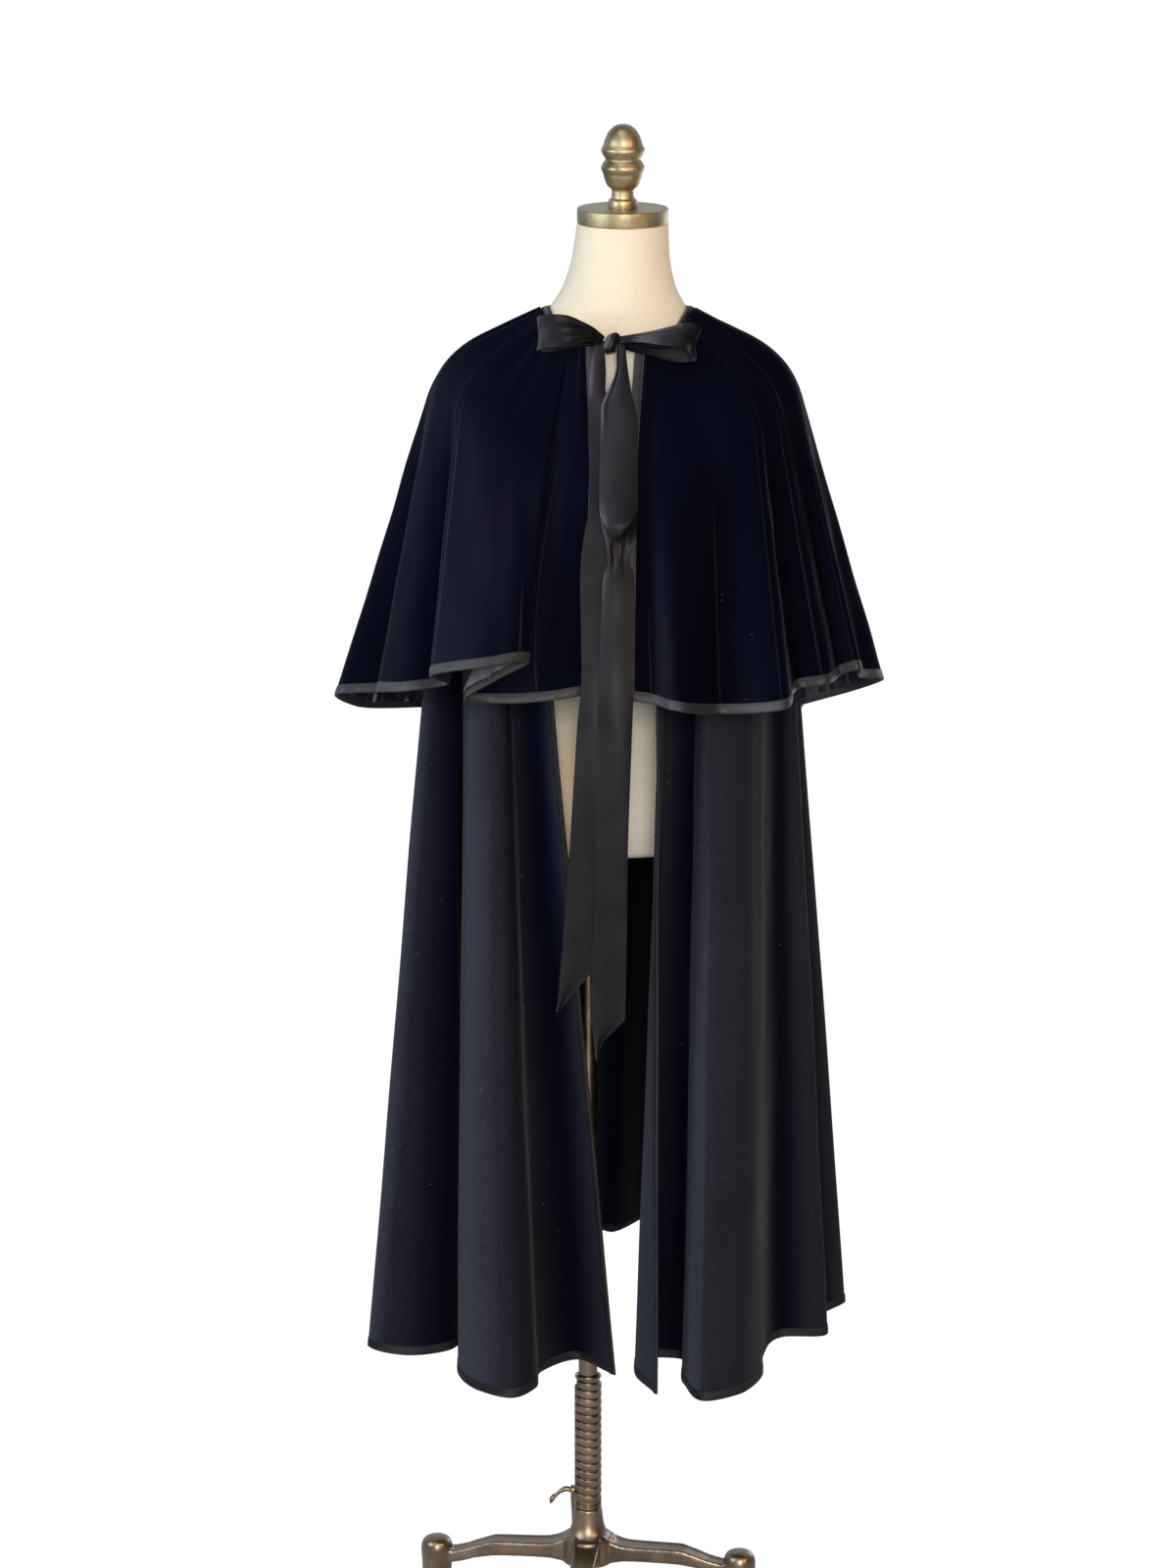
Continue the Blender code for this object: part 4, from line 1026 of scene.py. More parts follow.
def reckon(tree, operation, first, second=0.0):
    """A sum, product or the like of two values."""
    return add(tree, "ShaderNodeMath", {0: first, 1: second}, operation=operation).outputs[0]


def ranged(tree, value, interpolation="LINEAR", **limits):
    """A value carried from one range to another."""
    inputs = {label.replace("_", " "): limit for label, limit in limits.items()}
    inputs["Value"] = value
    return add(tree, "ShaderNodeMapRange", inputs, interpolation_type=interpolation).outputs[0]


def sheen_line_mask(tree, lines):
    """Thin painted sheen lines along the edges of folds: place round the hem, lean, start, half width,
    strength.
    """
    fade = 0.10
    place = add(tree, "ShaderNodeUVMap")
    apart = add(tree, "ShaderNodeSeparateXYZ", {0: place.outputs[0]})
    round_hem, down = apart.outputs["X"], apart.outputs["Y"]
    sheen_marks = None
    for across, lean, start, half, strength in lines:
        run = ranged(tree, down, From_Max=CAPLET_DROP, To_Min=across + lean, To_Max=across)
        away = reckon(tree, "ABSOLUTE", reckon(tree, "SUBTRACT", round_hem, run))
        near = ranged(tree, away, "SMOOTHSTEP", From_Max=half, To_Min=strength, To_Max=0.0)
        below = ranged(tree, down, "SMOOTHSTEP", From_Min=start, From_Max=start + fade)
        line = reckon(tree, "MULTIPLY", near, below)
        sheen_marks = line if sheen_marks is None else reckon(tree, "MAXIMUM", sheen_marks, line)
    return sheen_marks


def light_facing(tree, rise=0.0):
    """How far the surface faces the side of the painted light, from 0 to 1; it turns with the piece."""
    facing = add(tree, "ShaderNodeTexCoord").outputs["Normal"]
    lean = add(tree, "ShaderNodeVectorMath", {0: facing, 1: (*LIGHT_SIDE, rise)}, operation="DOT_PRODUCT")
    return ranged(tree, lean.outputs["Value"], From_Min=-1.0, From_Max=1.0)


def with_valley_shade(tree, colour, left):
    """A colour with painted shade: it darkens in the valleys between folds, to the part of it that is left
    there.
    """
    depth = add(tree, "ShaderNodeAttribute", attribute_name="hollow").outputs["Fac"]
    return mixed(tree, 1.0, colour, shade(tree, depth, (0.0, 1.0), (1.0, left)), "MULTIPLY")


def dress(tree, shader, colour, rough, rough_low, rough_high):
    """Gives a finish its colour, and a roughness that follows a pattern."""
    tree.links.new(colour, shader.inputs["Base Color"])
    tree.links.new(shade(tree, rough, (0.3, rough_low), (0.7, rough_high)), shader.inputs["Roughness"])


def add_bump(tree, shader, height, strength, distance):
    bump = add(tree, "ShaderNodeBump", {"Strength": strength, "Distance": distance, "Height": height})
    tree.links.new(bump.outputs[0], shader.inputs["Normal"])


def make_velvet(lines):
    material, tree, shader = finish(
        "black_velvet", Specular_IOR_Level=0.03, Sheen_Weight=0.06, Sheen_Roughness=0.22,
        Sheen_Tint=(0.66, 0.66, 0.92, 1.0),
    )
    # Painted light and shade: the pile is lighter where it faces the light side, darker facing away, shifted
    # on some folds
    brush = add(tree, "ShaderNodeAttribute", attribute_name="brush").outputs["Fac"]
    facing = reckon(tree, "ADD", light_facing(tree), brush)
    painted_pile_light = shade(tree, facing, (0.30, (0.0002, 0.0006, 0.0048)), (0.66, (0.0011, 0.0016, 0.0070)),
                      (0.83, (0.0034, 0.0038, 0.0108)), (0.98, (0.0088, 0.0090, 0.0180)))
    brushed_and_lit = shade(tree, pattern(tree, 9.0, (1.0, 1.0, 0.35), 4.0), (0.30, 0.72), (0.72, 1.15))
    plain = mixed(tree, 1.0, painted_pile_light, brushed_and_lit, "MULTIPLY")
    # Painted shade in the valleys, with painted sheen lines along the fold edges over it
    colour = mixed(tree, sheen_line_mask(tree, lines), with_valley_shade(tree, plain, VELVET_VALLEY_SHADE), SHEEN_LINE_COLOUR)
    pile = pattern(tree, 1500.0, detail=1.0)
    dress(tree, shader, colour, pile, 0.82, 0.98)
    add_bump(tree, shader, pile, 0.35, 0.0006)
    return material


def make_wool():
    material, tree, shader = finish(
        "black_wool", Specular_IOR_Level=0.04, Sheen_Weight=0.06, Sheen_Roughness=0.42,
        Sheen_Tint=(0.84, 0.89, 1.0, 1.0),
    )
    fibre = pattern(tree, 620.0)
    worn = pattern(tree, 7.0, detail=4.0)
    fibres = shade(tree, fibre, (0.28, (0.0064, 0.0067, 0.0110)), (0.76, (0.0184, 0.0188, 0.0276)))
    faded = shade(tree, worn, (0.35, 0.86), (0.70, 1.06))
    # Painted light and shade: the wool is lighter where it faces the light side and darker facing away, and
    # has painted shade in its valleys
    painted_wool_light = shade(tree, light_facing(tree), (0.10, 0.55), (0.36, 1.10), (0.67, 1.12), (0.86, 1.14), (0.97, 2.3))
    cloth = mixed(tree, 1.0, mixed(tree, 1.0, fibres, faded, "MULTIPLY"), painted_wool_light, "MULTIPLY")
    dress(tree, shader, with_valley_shade(tree, cloth, WOOL_VALLEY_SHADE), fibre, 0.78, 0.95)
    place = add(tree, "ShaderNodeUVMap")
    bias = (0, 0, math.radians(52))
    laid = add(tree, "ShaderNodeMapping", {"Vector": place.outputs[0], "Rotation": bias})
    twill = add(tree, "ShaderNodeTexWave", {
        "Vector": laid.outputs[0], "Scale": 260.0, "Distortion": 2.5, "Detail": 2.0,
    })
    raised = mixed(tree, 0.55, twill.outputs["Color"], fibre)
    add_bump(tree, shader, raised, 0.30, 0.0005)
    return material


def make_satin(name, dark, light, roughness, gloss, shine):
    """Woven satin with fine threads along its length and faint slubs; painted shine and shade by how far it
    faces the light side.
    """
    material, tree, shader = finish(name, Specular_IOR_Level=gloss, Anisotropic=0.45, Sheen_Weight=0.03,
                                    Sheen_Roughness=0.4)
    thread = pattern(tree, 60.0, (30.0, 1.0, 1.0), 2.0, source="UV")
    cloudy = pattern(tree, 26.0)
    threads = shade(tree, thread, (0.3, dark), (0.7, light))
    clouds = shade(tree, cloudy, (0.35, dark), (0.7, light))
    # Painted shine and shade by facing, and painted shade in the valleys
    painted_satin_shine = shade(tree, light_facing(tree, SATIN_RISE), *shine)
    shining = mixed(tree, 1.0, mixed(tree, 0.5, threads, clouds), painted_satin_shine, "MULTIPLY")
    colour = with_valley_shade(tree, shining, SATIN_VALLEY_SHADE)
    dress(tree, shader, colour, cloudy, roughness - 0.05, roughness + 0.07)
    add_bump(tree, shader, thread, 0.18, 0.0003)
    return material


def make_linen():
    material, tree, shader = finish("cream_linen", Specular_IOR_Level=0.18, Sheen_Weight=0.08)
    warp = pattern(tree, 260.0, (5.0, 1.0, 1.0), 2.0, source="UV")
    weft = pattern(tree, 260.0, (1.0, 5.0, 1.0), 2.0, source="UV")
    weave = mixed(tree, 0.5, warp, weft)
    thread = shade(tree, weave, (0.35, (0.58, 0.515, 0.405)), (0.65, (0.745, 0.675, 0.54)))
    aged = shade(tree, pattern(tree, 14.0), (0.3, 0.96), (0.7, 1.0))
    dress(tree, shader, mixed(tree, 1.0, thread, aged, "MULTIPLY"), weave, 0.80, 0.92)
    add_bump(tree, shader, weave, 0.35, 0.0005)
    return material


def make_metal(name, low, high, rough_low, rough_high, grain, grain_depth):
    """Lacquered metal with a cloudy tone and a cast or turned skin."""
    material, tree, shader = finish(name, Metallic=1.0)
    cloudy = pattern(tree, 34.0, detail=4.0)
    fine = pattern(tree, grain)
    colour = shade(tree, mixed(tree, 0.35, cloudy, fine), (0.32, low), (0.66, high))
    dress(tree, shader, colour, cloudy, rough_low, rough_high)
    add_bump(tree, shader, fine, 0.25, grain_depth)
    return material


def make_thread():
    material, tree, shader = finish("dark_thread", Specular_IOR_Level=0.3, Sheen_Weight=0.1)
    twist = pattern(tree, 2400.0, detail=1.0)
    dress(tree, shader, shade(tree, twist, (0.3, 0.010), (0.7, 0.026)), twist, 0.5, 0.7)
    return material


def make_lint():
    material, tree, shader = finish("white_lint", Specular_IOR_Level=0.2, Sheen_Weight=0.2)
    tuft = pattern(tree, 900.0, detail=1.0)
    colour = shade(tree, tuft, (0.3, (0.14, 0.14, 0.15)), (0.7, (0.30, 0.30, 0.30)))
    dress(tree, shader, colour, tuft, 0.85, 0.98)
    return material


# Studio

def make_camera():
    lens = bpy.data.cameras.new("photo_camera")
    lens.lens = CAMERA_LENS
    lens.sensor_width = 36.0
    lens.clip_end = 200.0
    camera = bpy.data.objects.new("photo_camera", lens)
    camera.location = POLE + CAMERA_PLACE
    camera.rotation_euler = (CAMERA_AIM - CAMERA_PLACE).to_track_quat("-Z", "Y").to_euler()
    bpy.context.scene.collection.objects.link(camera)
    bpy.context.scene.camera = camera


def make_light(name, place, aim, size, power, colour):
    lamp = bpy.data.lights.new(name, "AREA")
    lamp.shape = "DISK"
    lamp.size = size
    lamp.energy = power
    lamp.color = colour
    light = bpy.data.objects.new(name, lamp)
    light.location = place
    light.rotation_euler = (Vector(aim) - Vector(place)).to_track_quat("-Z", "Y").to_euler()
    bpy.context.scene.collection.objects.link(light)


def white_to_camera(tree, surface, output, kind):
    """Plain white where the camera looks straight at it, and its own surface for all other light."""
    white = add(tree, kind, {"Color": (1.0, 1.0, 1.0, 1.0), "Strength": 1.05})
    seen = add(tree, "ShaderNodeLightPath").outputs["Is Camera Ray"]
    both = add(tree, "ShaderNodeMixShader", {0: seen, 1: surface, 2: white.outputs[0]})
    tree.links.new(both.outputs[0], output.inputs["Surface"])


def make_studio():
    for light in LIGHTS:
        make_light(*light)
    world = bpy.data.worlds.new("white_studio")
    world.use_nodes = True
    tree = world.node_tree
    heading = add(tree, "ShaderNodeSeparateXYZ", {0: add(tree, "ShaderNodeTexCoord").outputs["Generated"]})
    glow = ranged(tree, heading.outputs["Y"], From_Min=-0.1, From_Max=0.6,
                  To_Min=STUDIO_FRONT, To_Max=STUDIO_BACK)
    sky = tree.nodes["Background"]
    sky.inputs["Color"].default_value = STUDIO_COLOUR
    tree.links.new(glow, sky.inputs["Strength"])
    white_to_camera(tree, sky.outputs[0], tree.nodes["World Output"], "ShaderNodeBackground")
    bpy.context.scene.world = world
    bpy.context.scene.view_settings.view_transform = "Standard"
    half = FLOOR_HALF
    corners = [(-half, -half, 0), (half, -half, 0), (half, half, 0), (-half, half, 0)]
    ground = mesh_from("pale_floor", corners, [(0, 1, 2, 3)])
    floor = bpy.data.objects.new("pale_floor", ground)
    material, tree, shader = finish("pale_floor", Roughness=0.9, Specular_IOR_Level=0.0,
                                    Base_Color=FLOOR_COLOUR)
    white_to_camera(tree, shader.outputs[0], tree.nodes["Material Output"], "ShaderNodeEmission")
    ground.materials.append(material)
    bpy.context.scene.collection.objects.link(floor)


# Cape

def panel_grid(tier, side, first, last, columns, levels, binding):
    """The u and t of a panel's points, tucked into its bindings and clear of the next panel."""
    share = np.linspace(0.0, 1.0, max(2, round(columns * (last - first))) + 1)
    lowest = tier.hem_level(first + (last - first) * share, binding - TUCK)
    t = np.linspace(0.0, 1.0, levels)[:, None] * lowest
    start = tier.inset(np.full_like(t, first), t, binding - TUCK if side == "left" else GAP / 2)
    end = tier.inset(np.full_like(t, last), t, TUCK - binding if side == "right" else -GAP / 2)
    return start + (end - start) * share, t


def pucker(distance, seed):
    """Small uneven swells along a binding, from its length in metres."""
    chance = np.random.default_rng(seed)
    swell = np.zeros_like(distance)
    for wave in chance.uniform(*SWELL_WAVES, SWELL_COUNT):
        swell += np.sin(math.tau * distance / wave + chance.uniform(0, math.tau))
    return SWELL_DEPTH * swell


def binding_rings(tier, u, t, width, thickness, along_hem, inward, seed):
    """The rings of a binding that is folded round the hem, or round a front edge, at each of its points."""
    proud = thickness + BINDING_PROUD
    middle = tier.point(u, t)
    distance = np.concatenate(([0.0], np.cumsum(np.linalg.norm(np.diff(middle, axis=0), axis=1))))
    swell = pucker(distance, seed)
    sides = []
    for up, out in BINDING_SECTION:
        swelling = (1 if out > 0.5 else -1) * (1 - abs(2 * up - 1) ** 3)
        offset = -BINDING_PROUD + out * (proud + BINDING_PROUD) + swell * swelling
        if along_hem:
            sides.append(tier.skin(u, tier.hem_level(u, width * up), offset))
        else:
            sides.append(tier.skin(tier.inset(u, t, inward * width * up), t, offset))
    return np.stack(sides, axis=1)


def dress_tier(tier, name, cloth, trim):
    """The panels of one tier with their bindings; returns both, and the paths of the stitches."""
    made_of = CLOTHS[name]
    solids, thickness, binding = made_of["solids"], made_of["thickness"], made_of["binding"]
    panels, bindings, paths = {}, {}, []
    for panel, side, first, last in PANELS:
        u, t = panel_grid(tier, side, first, last, made_of["columns"], made_of["levels"], binding)
        mesh = shell(f"{name}_{panel}", tier.skin(u, t, np.full_like(u, thickness)),
                     tier.skin(u, t, np.zeros_like(u)), tier.flat(u, t))
        # Painted shade in the valleys between folds
        mark(mesh, "hollow", tier.hollow(u, t))
        # Painted light and shade shifted on some folds of the caplet
        if tier.brushed_and_lit:
            mark(mesh, "brush", tier.brush(u, t))
        panels[side] = piece(mesh.name, mesh, cloth, "form", [f"{solids}_{panel}"])
        fine = np.linspace(u[-1, 0], u[-1, -1], round(BINDING_RINGS * tier.hem_length * (last - first)))
        rings = binding_rings(tier, fine, np.ones_like(fine), binding, thickness, True, 0, made_of["seed"])
        mesh = tube(f"{name}_hem_binding_{side}", rings)
        edging = piece(mesh.name, mesh, trim, "form", [f"{solids}_hem_{side}"], BINDING_SHARP)
        bindings[side] = [edging]
        paths.append(rings[:, BINDING_GROOVE])
    for side, edge, inward in (("left", 0.0, 1), ("right", 1.0, -1)):
        t = np.linspace(0.0, 1.0, round(BINDING_RINGS * tier.drop))
        u = np.full_like(t, edge)
        rings = binding_rings(tier, u, t, binding, thickness, False, inward, made_of["seed"] + 1)
        mesh = tube(f"{name}_edge_binding_{side}", rings)
        edging = piece(mesh.name, mesh, trim, "form", [f"{solids}_edge_{side}"], BINDING_SHARP)
        bindings[side].append(edging)
        paths.append(rings[:, BINDING_GROOVE])
    return panels, bindings, paths


def make_lining(caplet, satin):
    """The caplet's satin lining where it shows inside the hem, gathered by the binding's seam."""
    made = []
    for _, side, first, last in PANELS:
        u, t = panel_grid(caplet, side, first, last, LINING_COLUMNS, 2, CAPLET_BINDING)
        u = np.repeat(u[-1:], LINING_LEVELS, axis=0)
        t = t[-1:] * np.linspace(LINING_FROM, 1.0, LINING_LEVELS)[:, None]
        around = u * math.tau
        uneven = 2.0 * np.sin(31 * around) + 1.2 * np.sin(77 * around + 1.0)
        turns = LINING_GATHERS * u + uneven + 2.2 * (t - 1.0)
        gathered = smooth_step((t - 0.84) / 0.16) * (0.5 + 0.5 * np.cos(math.tau * turns))
        slack = 0.5 + 0.5 * np.sin(9.0 * t + 40.0 * around)
        sag = -LINING_GATHER_DEPTH * gathered - LINING_SLACK * slack * smooth_step((t - 0.55) / 0.2)
        # Between the layers of the folded front it lies flat against the velvet
        tucked = caplet.folded_over(u) * (1 - smooth_step((t - 0.80) / 0.10))
        sag = sag * (1 - tucked) + (LINING_GAP + LINING) * tucked
        mesh = shell(f"satin_lining_{side}", caplet.skin(u, t, sag - LINING_GAP),
                     caplet.skin(u, t, sag - LINING_GAP - LINING), caplet.flat(u, t))
        # Painted shade: the lining darkens away from the curled front
        mark(mesh, "hollow", smooth_step((u - CURL_END) / 0.03))
        lining = piece(mesh.name, mesh, satin, "form", [f"caplet_lining_{side}"])
        made.append((side, lining))
    return made


def make_stitches(name, paths, tree):
    """A piece with the stitches along each path."""
    points = np.concatenate(paths)
    edges, start = [], 0
    for path in paths:
        edges += [(start + i, start + i + 1) for i in range(len(path) - 1)]
        start += len(path)
    lines = bpy.data.meshes.new(name)
    lines.from_pydata(points.tolist(), edges, [])
    sizes = {"Pitch": STITCH_PITCH, "Half length": STITCH_LENGTH / 2, "Radius": STITCH_RADIUS}
    return piece(name, grown(name, tree, sizes, lines), None, "form", [])


def make_lint_piece(cape, caplet, tree):
    """Specks of lint scattered over the outside of both tiers."""
    clear = 0.0001
    chance = np.random.default_rng(LINT_SEED)
    spots = []
    for tier, count, thickness in ((cape, CAPE_LINT, WOOL), (caplet, CAPLET_LINT, VELVET)):
        u = chance.uniform(0.02, 0.98, count)
        t = chance.uniform(0.12, 0.97, count) ** 0.75
        spots.append(tier.skin(u, t, np.full_like(u, thickness + clear)))
    points = bpy.data.meshes.new("lint")
    points.from_pydata(np.concatenate(spots).tolist(), [], [])
    return piece("lint", grown("lint", tree, {"Size": LINT_SIZE}, points), None, "form", [])


# Neckband and bow

def make_neckband():
    """A padded band round the neck with square-ish corners, its outside drawn into small gathers."""
    angles = np.linspace(*BAND_OPENING, BAND_RINGS)
    around = np.radians(angles)
    gathers = BAND_GATHER_DEPTH * np.sin(around * BAND_GATHERS + 2.0 * np.sin(around * 7))
    depth = (BAND_OUTER - BAND_INNER) / 2
    rings = []
    for a in round_turn(BAND_SIDES):
        square = [math.copysign(abs(v) ** 0.45, v) for v in (math.cos(a), math.sin(a))]
        out = (BAND_INNER + BAND_OUTER) / 2 + depth * square[0]
        rise = BAND_HEIGHT * (0.5 + 0.5 * square[1])
        rings.append(neck_point(angles, out + gathers * max(0.0, math.cos(a)), rise))
    return tube("neckband_satin", np.stack(rings, axis=1))


def make_loop(name, rows, shaded):
    """A loop of the bow: a ribbon that leaves the knot, turns and comes back."""
    path = refined(rows, LOOP_RINGS)
    along = np.linspace(0, 1, LOOP_RINGS)[:, None]
    middle, half = path[:, :3], path[:, 3:4]
    heading = np.gradient(middle, axis=0)
    heading /= np.linalg.norm(heading, axis=1, keepdims=True)
    lean, slant = np.radians(path[:, 4:6].T)
    width = np.stack((np.tan(slant), np.sin(lean), np.cos(lean)), axis=1)
    width -= heading * (width * heading).sum(axis=1, keepdims=True)
    width /= np.linalg.norm(width, axis=1, keepdims=True)
    normal = np.cross(heading, width)
    across = np.linspace(-1.0, 1.0, RIBBON_COLUMNS)
    bow, pleat = path[:, 6:7], path[:, 7:8]
    lift = bow * (1 - across**2) + pleat * np.cos(math.tau * (1.6 * across + 0.15))
    lift = lift + 0.00025 * np.sin(5.0 * across + 14.0 * along) * smooth_step(half / 0.015)
    grid = middle[:, None] + width[:, None] * (half * across)[..., None] + normal[:, None] * lift[..., None]
    flat = np.stack(np.broadcast_arrays(across * RIBBON_WIDTH / 2, LOOP_RUN * along), axis=-1)
    mesh = shell(name, grid + normal[:, None] * RIBBON / 2, grid - normal[:, None] * RIBBON / 2, flat)
    # Painted shade: the back of the loop is darker, and a shaded loop's front too
    behind = smooth_step((along - 0.58) / 0.14)
    mark(mesh, "hollow", np.broadcast_to(np.maximum(behind, shaded), lift.shape))
    return facing_out(mesh)


def make_tail(name, rows, end, pinch):
    """A hanging tail of the ribbon, cut at a slant, with the small folds of its pinch."""
    path = refined(rows, TAIL_RINGS)
    evenly = np.linspace(path[0, 0], path[-1, 0], TAIL_RINGS)
    path = np.stack([np.interp(-evenly, -path[:, 0], column) for column in path.T], axis=1)
    around = np.pad(path[:, 3], TAIL_EASE, mode="reflect", reflect_type="odd")
    window = 2 * TAIL_EASE + 1
    path[:, 3] = np.convolve(around, np.full(window, 1 / window), mode="valid") - TAIL_FORWARD
    low = path[-1]
    cut = np.array([(low[0], low[1], low[2]), *end])
    heights = np.linspace(cut[0, 0], cut[-1, 0], 30)[1:]
    tip = [np.interp(-heights, -cut[:, 0], column) for column in cut[:, 1:].T]
    extra = np.stack((heights, *tip, np.full_like(heights, low[3]), np.full_like(heights, low[4])), axis=1)
    path = np.concatenate((path, extra))
    share = np.linspace(0.0, 1.0, RIBBON_COLUMNS)
    height, left, right, depth, bow = (path[:, i:i + 1] for i in range(5))
    x = left + (right - left) * share
    wave = 0.0007 * np.sin(14.0 * height + 5.0 * share) * smooth_step((1.38 - height) / 0.05)
    y = depth - bow * (1 - (2 * share - 1) ** 2) + wave
    if pinch:
        y = y - pinched(pinch, height, share)
    z = np.broadcast_to(height, x.shape)
    front = np.stack((x, y, z), axis=-1)
    back = front + np.array((0.0, RIBBON, 0.0))
    flat = np.stack((np.broadcast_to(share * TAIL_SPREAD, x.shape), z), axis=-1)
    return facing_out(shell(name, front, back, flat))


def pinched(pinch, height, share):
    """How far a pinched tail stands forward: small folds, the cup over them and the strand at its side."""
    above = height - pinch["height"]
    reach = np.where(above > 0, pinch["reach_up"], pinch["reach_down"])
    fold = np.cos(math.tau * (pinch["folds"] * share + 0.28 * np.sin(7.0 * share + 40.0 * above) + 0.3))
    uneven = 0.55 + 0.45 * np.sin(5.0 * share + 70.0 * above)
    fade = np.exp(-((above / reach) ** 2)) * np.sin(math.pi * share) ** 0.5
    past_cup = height - pinch["cup_side"] + pinch["cup_sag"] * np.sin(math.pi * share ** 0.8)
    cup = smooth_step(past_cup / 0.006) * np.exp(-np.maximum(past_cup, 0.0) / 0.035)
    strand = np.exp(-(((share - 0.09) / 0.07) ** 2)) * smooth_step((height - 1.300) / 0.08)
    return pinch["depth"] * fold * uneven * fade + pinch["cup_depth"] * cup + pinch["strand"] * strand


def make_knot():
    """The knot: a short wrap of ribbon whose strands slant across it."""
    turn = round_turn(KNOT_SIDES)
    wide, deep, tall = KNOT_HALF
    rings = []
    for s in np.linspace(-1.0, 1.0, KNOT_RINGS):
        swell = (1 - abs(s) ** 3.2) ** 0.42 if abs(s) < 1 else 0.0
        strand = 1 + 0.07 * np.cos(4 * turn + 3.0 * s) + 0.035 * np.cos(9 * turn - 2.0 * s)
        x = wide * max(swell, 0.25) * strand * np.cos(turn)
        y = deep * max(swell, 0.25) * strand * np.sin(turn)
        z = tall * s + 0.0012 * np.cos(turn + 0.6)
        rings.append(np.stack((x * math.cos(KNOT_LEAN) + z * math.sin(KNOT_LEAN), y,
                               z * math.cos(KNOT_LEAN) - x * math.sin(KNOT_LEAN)), axis=-1) + KNOT_MIDDLE)
    return tube("knot_wrap", rings)


# Dress form

def make_linen_form():
    angles = np.arange(FORM_SIDES) * 360.0 / FORM_SIDES
    fillet = FORM_FILLET
    rings = []
    for bend in np.linspace(0.0, math.pi / 2, 7):
        height = FORM_BOTTOM + fillet * (1 - math.cos(bend))
        rings.append(form_point(angles, np.full_like(angles, height), -fillet * (1 - math.sin(bend)), True))
    for height in np.linspace(FORM_BOTTOM + fillet, NECK_TOP, FORM_RINGS)[1:]:
        rings.append(form_point(angles, np.full_like(angles, height), 0.0, True))
    return tube("linen_form", rings)


def seam_tube(points):
    """A fine raised seam along points on the form."""
    points = np.asarray(points)
    heading = np.gradient(points, axis=0)
    heading /= np.linalg.norm(heading, axis=1, keepdims=True)
    side = np.cross(heading, (0.31, 0.87, 0.38))
    side /= np.linalg.norm(side, axis=1, keepdims=True)
    up = np.cross(heading, side)
    turn = round_turn(6)[:, None]
    return points[:, None] + SEAM_RADIUS * (side[:, None] * np.cos(turn) + up[:, None] * np.sin(turn))


def joined(name, meshes):
    """Several meshes as one."""
    work = bmesh.new()
    for mesh in meshes:
        work.from_mesh(mesh)
        bpy.data.meshes.remove(mesh)
    whole = bpy.data.meshes.new(name)
    work.to_mesh(whole)
    work.free()
    return whole


def make_form_seams():
    """The seams of the form's cover: round the neck, and down its front, back and sides."""
    angles = np.linspace(0.0, 360.0, 180, endpoint=False)
    ring = form_point(angles, between(angles, *NECK_SEAM), 0.0, True)
    parts = [tube("neck_seam", seam_tube(np.concatenate((ring, ring[:1]))))]
    for angle in LONG_SEAMS:
        top = float(between(np.array(angle), *NECK_SEAM))
        heights = np.linspace(FORM_BOTTOM + 0.008, top, 160)
        down = form_point(np.full_like(heights, angle), heights, 0.0, True)
        parts.append(tube("long_seam", seam_tube(down)))
    return joined("form_seams", parts)


def tilted(mesh, rise):
    """A turned mesh set on the tilted top of the neck."""
    top = FORM_LEAN * (NECK_TOP - FORM_BOTTOM)
    seat = Vector((top, -rise * math.sin(CAP_TILT), NECK_TOP + GAP + rise * math.cos(CAP_TILT)))
    mesh.transform(Matrix.Translation(seat) @ Matrix.Rotation(CAP_TILT, 4, "X"))
    return mesh


def make_brass():
    rim = CAP_RIM
    bend = np.linspace(0.0, math.pi / 2, 6)
    low = [(CAP_RADIUS - rim + rim * math.sin(b), rim - rim * math.cos(b)) for b in bend]
    high = [(CAP_RADIUS - rim + rim * math.cos(b), CAP_HEIGHT - rim + rim * math.sin(b)) for b in bend]
    face = [(r, CAP_HEIGHT) for r in (0.040, 0.028, 0.016, 0.004)]
    cap = turned("brass_cap", [(0.030, 0.0), *low, *high, *face], CAP_SIDES)
    profile = refined(FINIAL_PROFILE, FINIAL_RINGS)
    finial = turned("brass_finial", [*profile, (0.0012, FINIAL_TOP)], FINIAL_SIDES)
    return tilted(cap, 0.0), tilted(finial, CAP_HEIGHT + GAP)


# Stand

def leg_rings(turn):
    """Rings of one leg: a bar with a hollowed top between two raised edges."""
    along = np.array((math.cos(turn), math.sin(turn)))
    across = np.array((-math.sin(turn), math.cos(turn)))
    rings = []
    for reach, half, low, edge in refined(LEG_SECTIONS, 60):
        lip, hollow, bevel = half - LEG_LIP, half - LEG_HOLLOW, half - LEG_BEVEL
        outline = (
            (-lip, low), (lip, low), (half, low + 0.003), (half, edge - 0.0022), (bevel, edge), (lip, edge),
            (hollow, edge - 0.0016), (0.0, edge - 0.0020), (-hollow, edge - 0.0016),
            (-lip, edge), (-bevel, edge), (-half, edge - 0.0022), (-half, low + 0.003),
        )
        rings.append([(*(along * reach + across * side), height) for side, height in outline])
    return np.array(rings)


